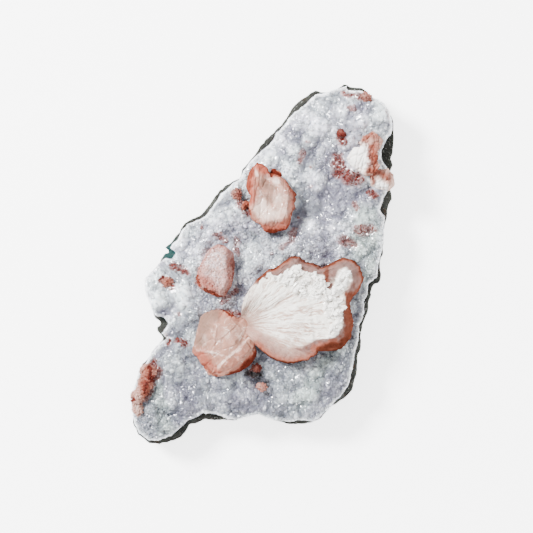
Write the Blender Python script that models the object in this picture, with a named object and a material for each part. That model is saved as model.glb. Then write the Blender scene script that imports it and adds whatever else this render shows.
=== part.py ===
"""Apophyllite specimen: a plate of basalt under a druzy chalcedony crust, with blocky crystals grown on it.

The plate lies on its flat basalt back, +Z up, with its long side along Y. Every length below is in
millimetres, and becomes metres where a mesh is made. The origin is the centre of the bounding box, at
the bottom.

From the bottom up: the basalt, the crust that covers it, and the crystals, each standing in a socket
of the crust. Crystals that grew into each other are one solid.
"""

import math
import random
from dataclasses import dataclass

import bmesh
import bpy
from mathutils import Euler, Matrix, Vector, noise
from mathutils.geometry import delaunay_2d_cdt

MM = 0.001
SPECIMEN = "apophyllite_specimen"
SEED = 11

# Levels of the plate.
BASALT_HEIGHT = 16.5
BED_RELIEF = 1.2
BED_WAVE = 38.0
CRUST_THICKNESS = 7.0
FIT_GAP = 0.3
SOCKET_CLEARANCE = 0.4
CRUST_TOP = BASALT_HEIGHT + FIT_GAP + CRUST_THICKNESS
ROOT_LEVEL = BASALT_HEIGHT + 3.4

# Crust surface: round botryoidal lumps, larger swells, and an edge that thins.
LUMP_SPACING = 11.0
LUMP_HEIGHT = 2.4
LUMP_REACH = 0.72
FACET_RELIEF = 0.35
EDGE_DROP = 2.6
EDGE_REACH = 3.0
EDGE_STEP = 5.2
EDGE_ROUGHNESS = 0.35
TOP_INSET = 0.9
CONTACT_INSET = 0.6
COARSE_SPACING = 9.5
FINE_SPACING = 3.5

# Broken outline of the crust, clockwise from its top corner.
CRUST_OUTLINE = [
    (41.5, 89.5), (42.8, 87.3), (49.5, 87.3), (53.3, 85.4), (57, 83), (60.5, 81), (63.3, 78.3),
    (65, 74), (65.5, 70), (64.3, 64.9), (61.9, 62), (59.5, 56.2), (59.7, 52.4), (62.3, 49),
    (63.3, 40.9), (62.9, 37.1), (60.9, 32.8), (59.5, 27.5), (61.3, 24), (61, 12), (58.5, 1),
    (57.2, -7.2), (53.4, -10.5), (52.9, -15.3), (51, -18.6), (51, -24.4), (49, -29.7),
    (48.1, -38.3), (46.2, -46.4), (45.2, -53.1), (42.9, -61.7), (39.5, -66.5), (35.2, -70.8),
    (28.5, -77.5), (25.2, -79.4), (17, -79), (13.2, -79.4), (2.7, -78), (-2.2, -76),
    (-11.7, -78), (-17, -78), (-25.6, -75.6), (-29.9, -75.1), (-33.2, -77), (-38, -79.4),
    (-41.9, -83.3), (-45.7, -86.1), (-52.4, -88.8), (-57.2, -88.5), (-62.4, -85.2),
    (-65, -80.5), (-66, -73.7), (-66, -67.5), (-65, -61.5), (-62.9, -55), (-60, -50.7),
    (-55.3, -43.1), (-52.4, -39.7), (-49, -37.3), (-51.5, -34.7), (-50, -32.4), (-48, -29.5),
    (-50, -27), (-54, -26.6), (-55.3, -24.7), (-56.7, -20.9), (-58.8, -16.6), (-59.8, -11.3),
    (-60, -7.5), (-56.7, -4.1), (-52.4, 0.2), (-50.5, 2.4), (-48.6, 3.6), (-45.7, 3.3),
    (-44.3, 5.5), (-46.9, 8.1), (-45.7, 10.3), (-42.8, 13.1), (-40.9, 17.5), (-38, 20.3),
    (-33.2, 22.2), (-29.4, 24.2), (-25.6, 29), (-21.3, 35.7), (-15, 41), (-11.7, 42.9),
    (-10.3, 47.2), (-6, 52.9), (0.3, 58.2), (3.5, 61), (6.4, 65.8), (13.6, 74.4),
    (20.3, 80.2), (26, 85.4), (34.1, 87.3), (39.9, 89.3),
]

# Where the basalt stands out beyond the crust: x, y, reach along the edge, width.
BASALT_LEDGES = [
    (1.5, 61, 7, 2.8), (20, 80, 10, 2.8), (46, 88.5, 6, 2.6), (61.5, 56.5, 9.5, 6.6),
    (61.5, 31, 7, 4.6), (57, -10, 9, 2.8), (51.5, -24, 9, 2.4), (47.5, -43, 7, 2.4),
    (45, -60, 11, 3.2), (17, -80, 7, 2.3), (-30, -78, 11, 3.8), (-42, -86, 9, 3.8),
    (-54, -90, 6, 2.6), (-63.5, -84.5, 4, 2), (-61.5, -51.5, 4, 2), (-50, -31, 5.5, 5),
    (-46.5, 5.5, 4.5, 4.4), (-43.5, 14, 4, 1.8), (-27, 28, 14, 2.1),
]
LEDGE_DROP = 1.3
SIDE_LEVELS = (  # height, inset from the ledge, unevenness of the inset, unevenness of the height
    (11.5, -0.1, 1.0, 0.9), (6.5, 0.9, 1.6, 1.0), (2.6, 2.2, 1.6, 0.5), (0.0, 4.2, 1.2, 0.0),
)

# Swells of the crust (x, y, reach, height) and the hollows in it (x, y, reach, depth).
SWELLS = [
    (41, 74.5, 6, 2), (31, 68, 9, 2), (13.5, 52, 10, 2.5), (23.5, 39.5, 9, 2), (56, 69, 10, 2),
    (41, 19.5, 10, 2), (54, 24, 8, 2), (45, 46.5, 8, 3), (-31.5, 12, 9, 2), (-56, -13, 8, 1.6),
    (-36, -18, 8, 2), (18.5, -65.5, 10, 2.5), (28.5, -58, 9, 2), (-14, -65, 8, 2),
    (-29, -60, 8, 2), (-19, 24, 8, 1.5),
]
HOLLOWS = [
    (-3, -57, 4.6, 5), (28.5, 47, 9, 2.2), (20, 24, 7, 1.8), (-9, 7, 7, 2.2), (4, 7, 6, 1.6),
    (40, 33, 9, 1.8), (-15, -11.5, 3, 2.4), (-47, -26.5, 1.8, 2), (-20, -72, 7, 1.4),
]

# The bow-tie sheaf: a fan of fine blades opened round its pinch, and a blocky lobe behind it.
PINCH = Vector((-11.5, -30.5))
FAN_START = 4.0
FAN_SPOKES = [  # angle in degrees, radius of the shoulder, radius of the rim
    (83, 9, 10), (78, 14, 15.5), (72, 20.5, 22), (66.5, 25.5, 27), (63, 29.5, 31.5),
    (58, 31.5, 33.5), (53, 38, 43), (49, 41, 45), (43, 43.5, 45.5), (37, 46.5, 49.8),
    (33.5, 47.5, 50), (31.5, 49, 62), (27.5, 61, 66.5), (23, 58.5, 67), (19.5, 58, 65),
    (16, 54.5, 60), (13.5, 54, 56.8), (9, 52, 56), (0, 49.5, 56.7), (-6, 46, 55.5),
    (-11, 42, 53), (-14.5, 41, 49.7), (-18.5, 40, 41.5), (-27, 37, 38.2), (-33, 32.5, 34.2),
    (-39, 27, 30.5), (-44, 21.5, 26), (-48, 16.5, 21), (-52, 8, 10),
]
FAN_BLADES = 54
FAN_STEPS = 7
PINCH_LEVEL = CRUST_TOP + 8.5
FAN_LEVEL = CRUST_TOP + 14.5
RIM_LEVEL = CRUST_TOP + 3.5
BLADE_RELIEF = 0.45
RIM_STEPS = 3
SIDE_FALL = 3.5


@dataclass(frozen=True)
class Facet:
    """A flat crystal face: a plane through (x, y, z), tilted from the vertical towards an azimuth."""

    x: float
    y: float
    z: float
    azimuth: float
    tilt: float

    @property
    def normal(self):
        """Outward unit normal of the face."""
        turn, lean = math.radians(self.azimuth), math.radians(self.tilt)
        return Vector((math.sin(lean) * math.cos(turn), math.sin(lean) * math.sin(turn), math.cos(lean)))


@dataclass(frozen=True)
class Block:
    """A blocky crystal: an outline with an upright side, closed above by its facets."""

    outline: tuple
    facets: tuple


@dataclass(frozen=True)
class Bud:
    """A small many-faced crystal at (x, y), with its half sizes, turned about Z."""

    x: float
    y: float
    size: tuple
    turn: float
    seed: int


LOBE = Block(
    outline=(
        (-35, -41.1), (-35.2, -44), (-31.7, -47.8), (-30, -50.5), (-27.1, -55.4), (-23, -56.2),
        (-17.3, -55.4), (-11.9, -53.8), (-7, -50.5), (-3.5, -45.9), (-3, -43.8), (-4.3, -38.6),
        (-5, -34.5), (-4.5, -30), (-9, -26.8), (-12.8, -26.8), (-14.6, -25.3), (-17.3, -23.4),
        (-20, -22.9), (-25.5, -23.2), (-29.2, -24.5), (-31.2, -26.2), (-33, -32.9),
    ),
    facets=(
        Facet(-17, -37, 36.5, 250, 7), Facet(-26, -33, 35.6, 185, 40), Facet(-26, -45, 34.4, 212, 44),
        Facet(-19, -51, 34.2, 264, 42), Facet(-9.5, -47, 33.8, 312, 44), Facet(-20.5, -27, 35, 98, 42),
        Facet(-13, -36, 35.4, 20, 30), Facet(-27, -29, 34, 140, 48),
    ),
)
UPPER_LEFT = Block(
    outline=(
        (-3, 50.5), (-0.1, 49.3), (2.2, 47.5), (3.5, 44), (3.5, 32), (3, 17.4), (1.6, 15.8),
        (-0.1, 17.7), (-1.4, 19.8), (-3.8, 20.9), (-5.7, 22.8), (-6.5, 26), (-7.1, 28.8),
        (-5.7, 33.9), (-7.3, 35.8), (-8.2, 38.2), (-7.9, 42.3), (-7.1, 45.3), (-4.9, 48.5),
    ),
    facets=(
        Facet(-3, 35, 35.2, 350, 17), Facet(-6, 36, 34, 180, 52), Facet(-5, 44, 34, 135, 46),
        Facet(0, 46, 33.4, 60, 44), Facet(-3.5, 24, 33.4, 232, 46),
    ),
)
UPPER_RIGHT = Block(
    outline=(
        (-0.6, 45), (4, 44.8), (7, 44), (10, 42.6), (12.2, 39.8), (14.3, 37.2), (16.5, 34.5),
        (15.7, 33.1), (16.5, 31.8), (15.4, 30.4), (16.5, 27.7), (14.6, 25.8), (14.1, 22.5),
        (13, 19.2), (11.3, 17.1), (8.1, 16.5), (4.1, 15.5), (0.5, 16.5), (-1, 24.5),
    ),
    facets=(
        Facet(8, 31, 35.6, 170, 11), Facet(14, 31, 34.2, 0, 50), Facet(11.5, 38.5, 34.2, 48, 48),
        Facet(7, 42, 33.8, 85, 44), Facet(8, 20, 34, 268, 42), Facet(12.5, 21, 33.6, 318, 46),
    ),
)
TABLET = Block(
    outline=(
        (-25.8, 8), (-22.7, 10), (-19.5, 9.2), (-16.8, 7.2), (-14.6, 5.5), (-14.2, -1.2),
        (-14.4, -5.6), (-15, -8.9), (-16.8, -12.8), (-19.1, -16.1), (-22.2, -16.8),
        (-24.9, -15.7), (-30.9, -12.5), (-32.7, -10.3), (-33.5, -6.7), (-31.2, -0.9), (-28.5, 5.1),
    ),
    facets=(
        Facet(-24, -4, 33.2, 205, 5), Facet(-17.6, -3, 32.6, 5, 56), Facet(-18.5, -11, 32, 328, 52),
        Facet(-30.4, -6, 31.8, 172, 50), Facet(-22, 6.5, 32.4, 82, 46), Facet(-24.5, -13.6, 31.8, 250, 46),
        Facet(-28.5, 1.5, 32, 152, 48),
    ),
)
BROKEN_BLOCK = Block(
    outline=(
        (41.9, 52.2), (45.8, 57.4), (48.8, 57.2), (49.2, 59.5), (51.8, 61.8), (56, 58), (55, 50),
        (56, 44.2), (50.7, 44.5), (46.9, 47.2), (42.7, 50.3),
    ),
    facets=(Facet(49, 52, 34, 205, 10), Facet(45, 50, 33, 228, 40), Facet(46, 56, 33.4, 130, 42)),
)
PEACH_BLOCK = Block(
    outline=(
        (48, 60.2), (49.6, 64), (52.7, 64.5), (55.3, 66.3), (58, 63.3), (59.5, 61.4), (58.3, 58.7),
        (56.4, 55.2), (56.4, 52.2), (58, 48.8), (54.9, 44.6), (52, 46), (51.5, 57),
    ),
    facets=(Facet(55, 57, 34.8, 60, 9), Facet(57, 60, 34, 20, 48), Facet(53, 64, 33.6, 100, 46)),
)
EDGE_BLOCK = Block(
    outline=(
        (56.6, 46.4), (58, 47.2), (62.5, 47), (64.4, 44), (64.3, 40), (62.8, 37.4), (57.2, 37.3),
        (53.8, 39.2), (53.8, 43.5),
    ),
    facets=(Facet(59, 42, 31.4, 320, 9), Facet(58, 38.6, 30.6, 262, 45), Facet(62.6, 43, 30.6, 5, 50)),
)

RED_WEDGE = Bud(-8.8, 29.3, (3.2, 2.4, 3.4), 35, 3)
RED_SHOULDER = Bud(6.8, 45.2, (3.4, 2.2, 3.4), -20, 4)
CORNER_BUDS = (
    Bud(-57.2, -54.4, (4, 4.8, 5.4), 20, 5),
    Bud(-58.8, -60, (4.6, 4.2, 5), 60, 6),
    Bud(-60.8, -63.8, (3.8, 3.4, 4.4), 30, 16),
    Bud(-62.6, -66.6, (4.2, 4, 4.4), 15, 7),
    Bud(-62.6, -71.8, (3, 4, 3.4), -10, 8),
)
LONE_BUDS = {
    "red_bud_left": Bud(-12.9, 35.2, (2.6, 3, 3.2), 25, 9),
    "red_bud_upper": Bud(39.2, 64.8, (2.2, 2.8, 2.4), 60, 10),
    "pit_bud_upper": Bud(-3, -51.8, (2.6, 2.2, 3.2), 10, 12),
    "pit_crystal_lower": Bud(-0.5, -61.6, (3.6, 2.6, 3.2), -25, 13),
    "rim_bud_top": Bud(51.5, 83.4, (3, 2, 2.2), -30, 14),
    "orange_bud_left": Bud(-47.8, -9, (3.2, 2, 2.2), 20, 15),
}
LATH_CENTRE = (-46.2, -4.2)
LATH_SIZE = (14.6, 3.2, 2.8)
LATH_TURN = -42
LATH_SINK = 0.9
BUD_FACETING = 0.16
BUD_SINK = 0.25
CUTTER_TOP = 60.0

FINISHES = {  # base colour, roughness
    "basalt": ((0.075, 0.072, 0.062), 0.9),
    "chalcedony": ((0.42, 0.44, 0.5), 0.4),
    "sheaf": ((0.74, 0.66, 0.62), 0.45),
    "salmon": ((0.7, 0.47, 0.4), 0.35),
    "iron_red": ((0.34, 0.09, 0.05), 0.45),
    "pale": ((0.62, 0.62, 0.58), 0.3),
}


def bed_level(x, y):
    """Height of the gently waved bed where basalt and crust meet."""
    return BASALT_HEIGHT + BED_RELIEF * noise.noise(Vector((x, y, 0)) / BED_WAVE)


def divided(outline, step):
    """The outline with long sides broken into shorter, slightly uneven ones."""
    rng = random.Random(SEED)
    points = []
    for here, after in zip(outline, outline[1:] + outline[:1]):
        start, end = Vector(here), Vector(after)
        pieces = max(1, round((end - start).length / step))
        across = (end - start).orthogonal().normalized()
        points.append(start)
        for k in range(1, pieces):
            points.append(start.lerp(end, k / pieces) + across * rng.uniform(-EDGE_ROUGHNESS, EDGE_ROUGHNESS))
    return points


def outward_normals(ring, passes=2):
    """Outward unit normals of a clockwise ring, from a smoothed copy so that neighbours agree."""
    smooth = list(ring)
    count = len(ring)
    for _ in range(passes):
        smooth = [(smooth[i - 1] + smooth[i] * 2 + smooth[(i + 1) % count]) / 4 for i in range(count)]
    normals = []
    for i in range(count):
        along = smooth[(i + 1) % count] - smooth[i - 1]
        normals.append(Vector((-along.y, along.x)).normalized())
    return normals


def moved_out(ring, distances):
    """The ring with each point moved outwards by its own distance."""
    return [point + normal * d for point, normal, d in zip(ring, outward_normals(ring), distances)]


def edge_distance(point, ring):
    """Distance from a point to the nearest side of a ring."""
    nearest = math.inf
    for start, end in zip(ring, ring[1:] + ring[:1]):
        side = end - start
        share = min(1.0, max(0.0, (point - start).dot(side) / side.length_squared))
        nearest = min(nearest, (point - start - side * share).length)
    return nearest


def is_inside(point, ring):
    """Whether a point lies inside a ring, by counting the sides crossed to its right."""
    crossings = 0
    for start, end in zip(ring, ring[1:] + ring[:1]):
        if (start.y > point.y) != (end.y > point.y):
            across = start.x + (end.x - start.x) * (point.y - start.y) / (end.y - start.y)
            crossings += across > point.x
    return crossings % 2 == 1


def lattice_inside(ring, spacing):
    """Uneven triangular lattice of points inside a ring, clear of its sides."""
    rng = random.Random(SEED)
    left, right = min(p.x for p in ring), max(p.x for p in ring)
    low, high = min(p.y for p in ring), max(p.y for p in ring)
    row_height = spacing * math.sqrt(3) / 2
    points = []
    for row in range(int((high - low) / row_height) + 2):
        for column in range(int((right - left) / spacing) + 2):
            point = Vector((left + (column + 0.5 * (row % 2)) * spacing, low + row * row_height))
            point += Vector((rng.uniform(-1, 1), rng.uniform(-1, 1))) * spacing * 0.2
            if is_inside(point, ring) and edge_distance(point, ring) > spacing * 0.55:
                points.append(point)
    return points


def add_sheet(bm, ring, spacing, height):
    """Add a triangulated sheet bounded by a ring, each vertex at height(x, y, distance from the ring)."""
    station = bm.verts.layers.int["station"]
    points = ring + lattice_inside(ring, spacing)
    sides = [(i, (i + 1) % len(ring)) for i in range(len(ring))]
    flat, _, triangles, _, _, _ = delaunay_2d_cdt(points, sides, [], 1, 1e-6)
    verts = []
    for i, point in enumerate(flat):
        depth = 0.0 if i < len(ring) else edge_distance(point, ring)
        vert = bm.verts.new((point.x, point.y, height(point.x, point.y, depth)))
        vert[station] = i if i < len(ring) else -1
        verts.append(vert)
    for corners in triangles:
        bm.faces.new([verts[i] for i in corners])


def lower_rim(bm, places):
    """Extrude the open rim once, and put the new vertex of each station at its place."""
    station = bm.verts.layers.int["station"]
    rim = [edge for edge in bm.edges if edge.is_boundary]
    made = bmesh.ops.extrude_edge_only(bm, edges=rim)["geom"]
    for vert in (item for item in made if isinstance(item, bmesh.types.BMVert)):
        vert.co = places[vert[station]]


def new_sheet_mesh():
    """An empty BMesh whose vertices can carry the number of their place on a ring."""
    bm = bmesh.new()
    bm.verts.layers.int.new("station")
    return bm


def close_and_finish(bm):
    """Fill what is open, make every face a triangle, and turn the faces outwards."""
    bmesh.ops.holes_fill(bm, edges=[edge for edge in bm.edges if edge.is_boundary], sides=0)
    bmesh.ops.triangulate(bm, faces=bm.faces[:])
    bmesh.ops.recalc_face_normals(bm, faces=bm.faces[:])


def finish_material(finish):
    """The Principled material of a finish, made once."""
    name = f"{finish}_finish"
    if name in bpy.data.materials:
        return bpy.data.materials[name]
    colour, roughness = FINISHES[finish]
    material = bpy.data.materials.new(name)
    material.use_nodes = True
    shader = material.node_tree.nodes["Principled BSDF"]
    shader.inputs["Base Color"].default_value = (*colour, 1)
    shader.inputs["Roughness"].default_value = roughness
    shader.inputs["Metallic"].default_value = 0
    return material


def collection_named(name):
    """The collection of this name in the scene, made once."""
    found = bpy.data.collections.get(name)
    if found is None:
        found = bpy.data.collections.new(name)
        bpy.context.scene.collection.children.link(found)
    return found


def make_object(name, bm, finish=None):
    """Turn a BMesh in millimetres into a part, or into a hidden cutter where no finish is given."""
    bmesh.ops.transform(bm, matrix=Matrix.Scale(MM, 4), verts=bm.verts[:])
    mesh = bpy.data.meshes.new(name)
    bm.to_mesh(mesh)
    bm.free()
    made = bpy.data.objects.new(name, mesh)
    if finish:
        mesh.materials.append(finish_material(finish))
        collection_named(SPECIMEN).objects.link(made)
    else:
        made.hide_render = True
        made.display_type = "WIRE"
        collection_named("cutters").objects.link(made)
    return made


def combine(target, other, operation):
    """Cut or join with an exact Boolean."""
    modifier = target.modifiers.new(f"{operation.lower()}_{other.name}", "BOOLEAN")
    modifier.operation = operation
    modifier.solver = "EXACT"
    modifier.object = other


def ledge_width(x, y):
    """How far the basalt stands out beyond the crust's outline at a point of it."""
    widths = [width * math.exp(-(math.hypot(x - cx, y - cy) / reach) ** 2)
              for cx, cy, reach, width in BASALT_LEDGES]
    return max(widths) - CONTACT_INSET


def build_basalt(ring):
    """Basalt plate: waved bed, ledges beyond the crust, a broken side that narrows, and a flat back."""
    rng = random.Random(SEED)
    contact = moved_out(ring, [-CONTACT_INSET] * len(ring))
    bm = new_sheet_mesh()
    add_sheet(bm, contact, COARSE_SPACING, lambda x, y, depth: bed_level(x, y))
    ledges = [ledge_width(p.x, p.y) for p in ring]
    brim = moved_out(ring, ledges)
    lower_rim(bm, [(p.x, p.y, bed_level(p.x, p.y) - LEDGE_DROP * rng.uniform(0.7, 1.3)) for p in brim])
    for level, inset, uneven, wander in SIDE_LEVELS:
        side = moved_out(ring, [width - inset - rng.uniform(0, uneven) for width in ledges])
        lower_rim(bm, [(p.x, p.y, level + rng.uniform(-wander, wander)) for p in side])
    close_and_finish(bm)
    return make_object("basalt_matrix", bm, "basalt")


def crust_level(x, y, depth):
    """Height of the crust's top at a point, depth being its distance from the edge."""
    nearest = noise.voronoi(Vector((x, y, 0)) / LUMP_SPACING)[0][0]
    lumps = LUMP_HEIGHT * (1 - min(nearest / LUMP_REACH, 1) ** 2)
    swells = sum(h * math.exp(-((x - cx) ** 2 + (y - cy) ** 2) / r**2) for cx, cy, r, h in SWELLS)
    hollows = sum(h * math.exp(-((x - cx) ** 2 + (y - cy) ** 2) / r**2) for cx, cy, r, h in HOLLOWS)
    edge = EDGE_DROP * math.exp(-depth / EDGE_REACH)
    facets = FACET_RELIEF * noise.noise(Vector((x, y, 5)) / 2.1)
    return bed_level(x, y) + FIT_GAP + CRUST_THICKNESS + lumps + swells - hollows - edge + facets


def build_crust(ring):
    """Druzy crust: a fine lumpy sheet, a broken edge, and an underside that follows the bed."""
    contact = moved_out(ring, [-CONTACT_INSET] * len(ring))
    shoulder = moved_out(ring, [-TOP_INSET] * len(ring))
    bm = new_sheet_mesh()
    add_sheet(bm, shoulder, FINE_SPACING, crust_level)
    lower_rim(bm, [(p.x, p.y, bed_level(p.x, p.y) + 0.45 * CRUST_THICKNESS) for p in ring])
    lower_rim(bm, [(p.x, p.y, bed_level(p.x, p.y) + FIT_GAP) for p in contact])
    add_sheet(bm, contact, COARSE_SPACING, lambda x, y, depth: bed_level(x, y) + FIT_GAP)
    bmesh.ops.remove_doubles(bm, verts=bm.verts[:], dist=1e-4)
    close_and_finish(bm)
    return make_object("druzy_crust", bm, "chalcedony")


def prism(outline, bottom, top):
    """Upright prism on an outline."""
    bm = bmesh.new()
    base = bm.faces.new([bm.verts.new((x, y, bottom)) for x, y in outline])
    made = bmesh.ops.extrude_face_region(bm, geom=[base])["geom"]
    raised = [item for item in made if isinstance(item, bmesh.types.BMVert)]
    bmesh.ops.translate(bm, verts=raised, vec=(0, 0, top - bottom))
    bmesh.ops.recalc_face_normals(bm, faces=bm.faces[:])
    return bm


def slice_off(bm, facet):
    """Cut away what lies beyond a facet's plane, and close the cut with one flat face."""
    whole = bm.verts[:] + bm.edges[:] + bm.faces[:]
    cut = bmesh.ops.bisect_plane(
        bm, geom=whole, plane_co=(facet.x, facet.y, facet.z), plane_no=facet.normal, clear_outer=True
    )["geom_cut"]
    bmesh.ops.holes_fill(bm, edges=[item for item in cut if isinstance(item, bmesh.types.BMEdge)], sides=0)


def block_mesh(block):
    """A blocky crystal from its root to its facets."""
    bm = prism(block.outline, ROOT_LEVEL, CUTTER_TOP)
    for facet in block.facets:
        slice_off(bm, facet)
    bmesh.ops.triangulate(bm, faces=bm.faces[:])
    bmesh.ops.recalc_face_normals(bm, faces=bm.faces[:])
    return bm


def bud_mesh(bud, growth=0.0):
    """A small many-faced crystal sunk in the crust, or its socket where growth is the clearance."""
    rng = random.Random(bud.seed)
    bm = bmesh.new()
    bmesh.ops.create_icosphere(bm, subdivisions=1, radius=1)
    for vert in bm.verts:
        vert.co *= 1 + rng.uniform(-BUD_FACETING, BUD_FACETING)
    size = Vector(bud.size)
    level = crust_level(bud.x, bud.y, COARSE_SPACING) + size.z * BUD_SINK
    place = Matrix.Translation((bud.x, bud.y, level)) @ Euler((0, 0, math.radians(bud.turn))).to_matrix().to_4x4()
    bmesh.ops.transform(bm, matrix=place @ Matrix.Diagonal((*size, 1)), verts=bm.verts[:])
    bm.normal_update()
    for vert, normal in [(v, v.normal.copy()) for v in bm.verts]:
        vert.co += normal * growth
    return bm


def grown(outline, clearance):
    """The outline with every side moved outwards by the clearance, its corners mitred."""
    ring = [Vector(point) for point in outline]
    area = sum(a.x * b.y - b.x * a.y for a, b in zip(ring, ring[1:] + ring[:1]))
    turn = math.copysign(1.0, area)
    points = []
    for before, here, after in zip(ring[-1:] + ring[:-1], ring, ring[1:] + ring[:1]):
        first, second = (here - before).normalized(), (after - here).normalized()
        out = Vector((first.y + second.y, -first.x - second.x)) * turn
        out.normalize()
        slant = max(0.35, out.dot(Vector((second.y, -second.x)) * turn))
        points.append(here + out * clearance / slant)
    return [(point.x, point.y) for point in points]


def cut_block_socket(crust, name, outline):
    """Cut the upright socket that a crystal with this outline stands in."""
    bm = prism(grown(outline, SOCKET_CLEARANCE), ROOT_LEVEL - FIT_GAP, CUTTER_TOP)
    combine(crust, make_object(f"{name}_socket", bm), "DIFFERENCE")


def cut_bud_socket(crust, name, bud):
    """Cut the socket of a small crystal."""
    combine(crust, make_object(f"{name}_socket", bud_mesh(bud, SOCKET_CLEARANCE)), "DIFFERENCE")


def spoke_at(angle):
    """Shoulder and rim radius of the fan at an angle, between the listed spokes."""
    for (high, shoulder_a, rim_a), (low, shoulder_b, rim_b) in zip(FAN_SPOKES, FAN_SPOKES[1:]):
        if low <= angle <= high:
            share = (high - angle) / (high - low)
            return shoulder_a + (shoulder_b - shoulder_a) * share, rim_a + (rim_b - rim_a) * share
    return FAN_SPOKES[-1][1:]


def fan_point(across, along, blade):
    """A point of the fan's top. Along runs from the pinch (0) over the shoulder (1) to the rim (2)."""
    first, last = FAN_SPOKES[0][0], FAN_SPOKES[-1][0]
    angle = first + (last - first) * across
    shoulder, rim = spoke_at(angle)
    rise = min(1.0, along / 0.55)
    rise = rise * rise * (3 - 2 * rise)
    crown = FAN_LEVEL - SIDE_FALL * (2 * across - 1) ** 2
    level = PINCH_LEVEL + (crown - PINCH_LEVEL) * rise
    radius = FAN_START + (shoulder - FAN_START) * min(along, 1)
    if along > 1:
        radius = shoulder + (rim - shoulder) * (along - 1)
        level += (RIM_LEVEL - crown) * (along - 1) ** 1.4
    relief = BLADE_RELIEF * (1 if blade % 2 else -1) * min(along, 1)
    turn = math.radians(angle)
    return Vector((PINCH.x + radius * math.cos(turn), PINCH.y + radius * math.sin(turn), level + relief))


def fan_mesh():
    """The fan: a grid wrapped round the pinch, with its side carried down to the root."""
    bm = bmesh.new()
    rows = FAN_STEPS + RIM_STEPS
    bmesh.ops.create_grid(bm, x_segments=FAN_BLADES, y_segments=rows, size=0.5)
    for vert in bm.verts:
        across = 0.5 - vert.co.x
        row = round((vert.co.y + 0.5) * rows)
        along = row / FAN_STEPS if row <= FAN_STEPS else 1 + (row - FAN_STEPS) / RIM_STEPS
        vert.co = fan_point(across, along, round(across * FAN_BLADES))
    rim = [edge for edge in bm.edges if edge.is_boundary]
    made = bmesh.ops.extrude_edge_only(bm, edges=rim)["geom"]
    for vert in (item for item in made if isinstance(item, bmesh.types.BMVert)):
        vert.co.z = ROOT_LEVEL
    close_and_finish(bm)
    return bm


def fan_outline():
    """Outline of the fan seen from above: its rim, and back across the pinch."""
    rim = [fan_point(blade / FAN_BLADES, 2, blade) for blade in range(FAN_BLADES + 1)]
    start = [fan_point(share, 0, 0) for share in (1, 0.5, 0)]
    return [(point.x, point.y) for point in rim + start]


def build_sheaf(crust):
    """The bow-tie sheaf: fan and lobe, grown together at the pinch."""
    sheaf = make_object("bow_tie_sheaf", fan_mesh(), "sheaf")
    combine(sheaf, make_object("sheaf_lobe", block_mesh(LOBE)), "UNION")
    cut_block_socket(crust, "sheaf_fan", fan_outline())
    cut_block_socket(crust, "sheaf_lobe", LOBE.outline)
    return sheaf


def build_group(crust, name, finish, blocks=(), buds=()):
    """Crystals that grew into each other, joined in one solid and set in the crust."""
    meshes = [block_mesh(block) for block in blocks] + [bud_mesh(bud) for bud in buds]
    group = make_object(name, meshes[0], finish)
    for k, bm in enumerate(meshes[1:], start=2):
        combine(group, make_object(f"{name}_{k}", bm), "UNION")
    for k, block in enumerate(blocks, start=1):
        cut_block_socket(crust, f"{name}_block_{k}", block.outline)
    for k, bud in enumerate(buds, start=1):
        cut_bud_socket(crust, f"{name}_bud_{k}", bud)
    return group


def lath_mesh(growth=0.0):
    """A long flat crystal lying in the crust, or its socket where growth is the clearance."""
    bm = bmesh.new()
    bmesh.ops.create_cube(bm, size=1)
    length, width, height = (side + 2 * growth for side in LATH_SIZE)
    x, y = LATH_CENTRE
    level = crust_level(x, y, COARSE_SPACING) - LATH_SINK
    place = Matrix.Translation((x, y, level)) @ Euler((0, 0, math.radians(LATH_TURN))).to_matrix().to_4x4()
    bmesh.ops.transform(bm, matrix=place @ Matrix.Diagonal((length, width, height, 1)), verts=bm.verts[:])
    return bm


def build_crystals(crust):
    """All the crystals, each in its socket."""
    build_sheaf(crust)
    build_group(crust, "upper_crystal", "salmon", (UPPER_LEFT, UPPER_RIGHT), (RED_WEDGE, RED_SHOULDER))
    build_group(crust, "left_tablet", "salmon", (TABLET,))
    build_group(crust, "top_right_cluster", "salmon", (BROKEN_BLOCK, PEACH_BLOCK, EDGE_BLOCK))
    build_group(crust, "corner_cluster", "iron_red", buds=CORNER_BUDS)
    for name, bud in LONE_BUDS.items():
        build_group(crust, name, "iron_red", buds=(bud,))
    make_object("pale_lath", lath_mesh(), "pale")
    combine(crust, make_object("pale_lath_socket", lath_mesh(SOCKET_CLEARANCE)), "DIFFERENCE")


def centre_on_origin():
    """Move every mesh so that the specimen's box is centred on Z and stands on it."""
    bpy.context.view_layer.update()
    graph = bpy.context.evaluated_depsgraph_get()
    corners = [Vector(corner) for part in collection_named(SPECIMEN).objects
               for corner in part.evaluated_get(graph).bound_box]
    middle = [(min(c[axis] for c in corners) + max(c[axis] for c in corners)) / 2 for axis in (0, 1)]
    shift = Matrix.Translation((-middle[0], -middle[1], -min(c.z for c in corners)))
    for made in bpy.data.objects:
        made.data.transform(shift)


def main():
    """Clear the scene and build the specimen."""
    for old in list(bpy.data.objects):
        bpy.data.objects.remove(old)
    ring = divided(CRUST_OUTLINE, EDGE_STEP)
    build_basalt(ring)
    crust = build_crust(ring)
    build_crystals(crust)
    centre_on_origin()


main()
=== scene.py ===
import logging
import math
from dataclasses import dataclass
from enum import Enum
from typing import Callable, Iterable, Sequence

import bmesh
import bpy
import numpy as np
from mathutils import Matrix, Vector, noise
from mathutils.bvhtree import BVHTree
from mathutils.geometry import delaunay_2d_cdt
from mathutils.kdtree import KDTree


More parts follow.
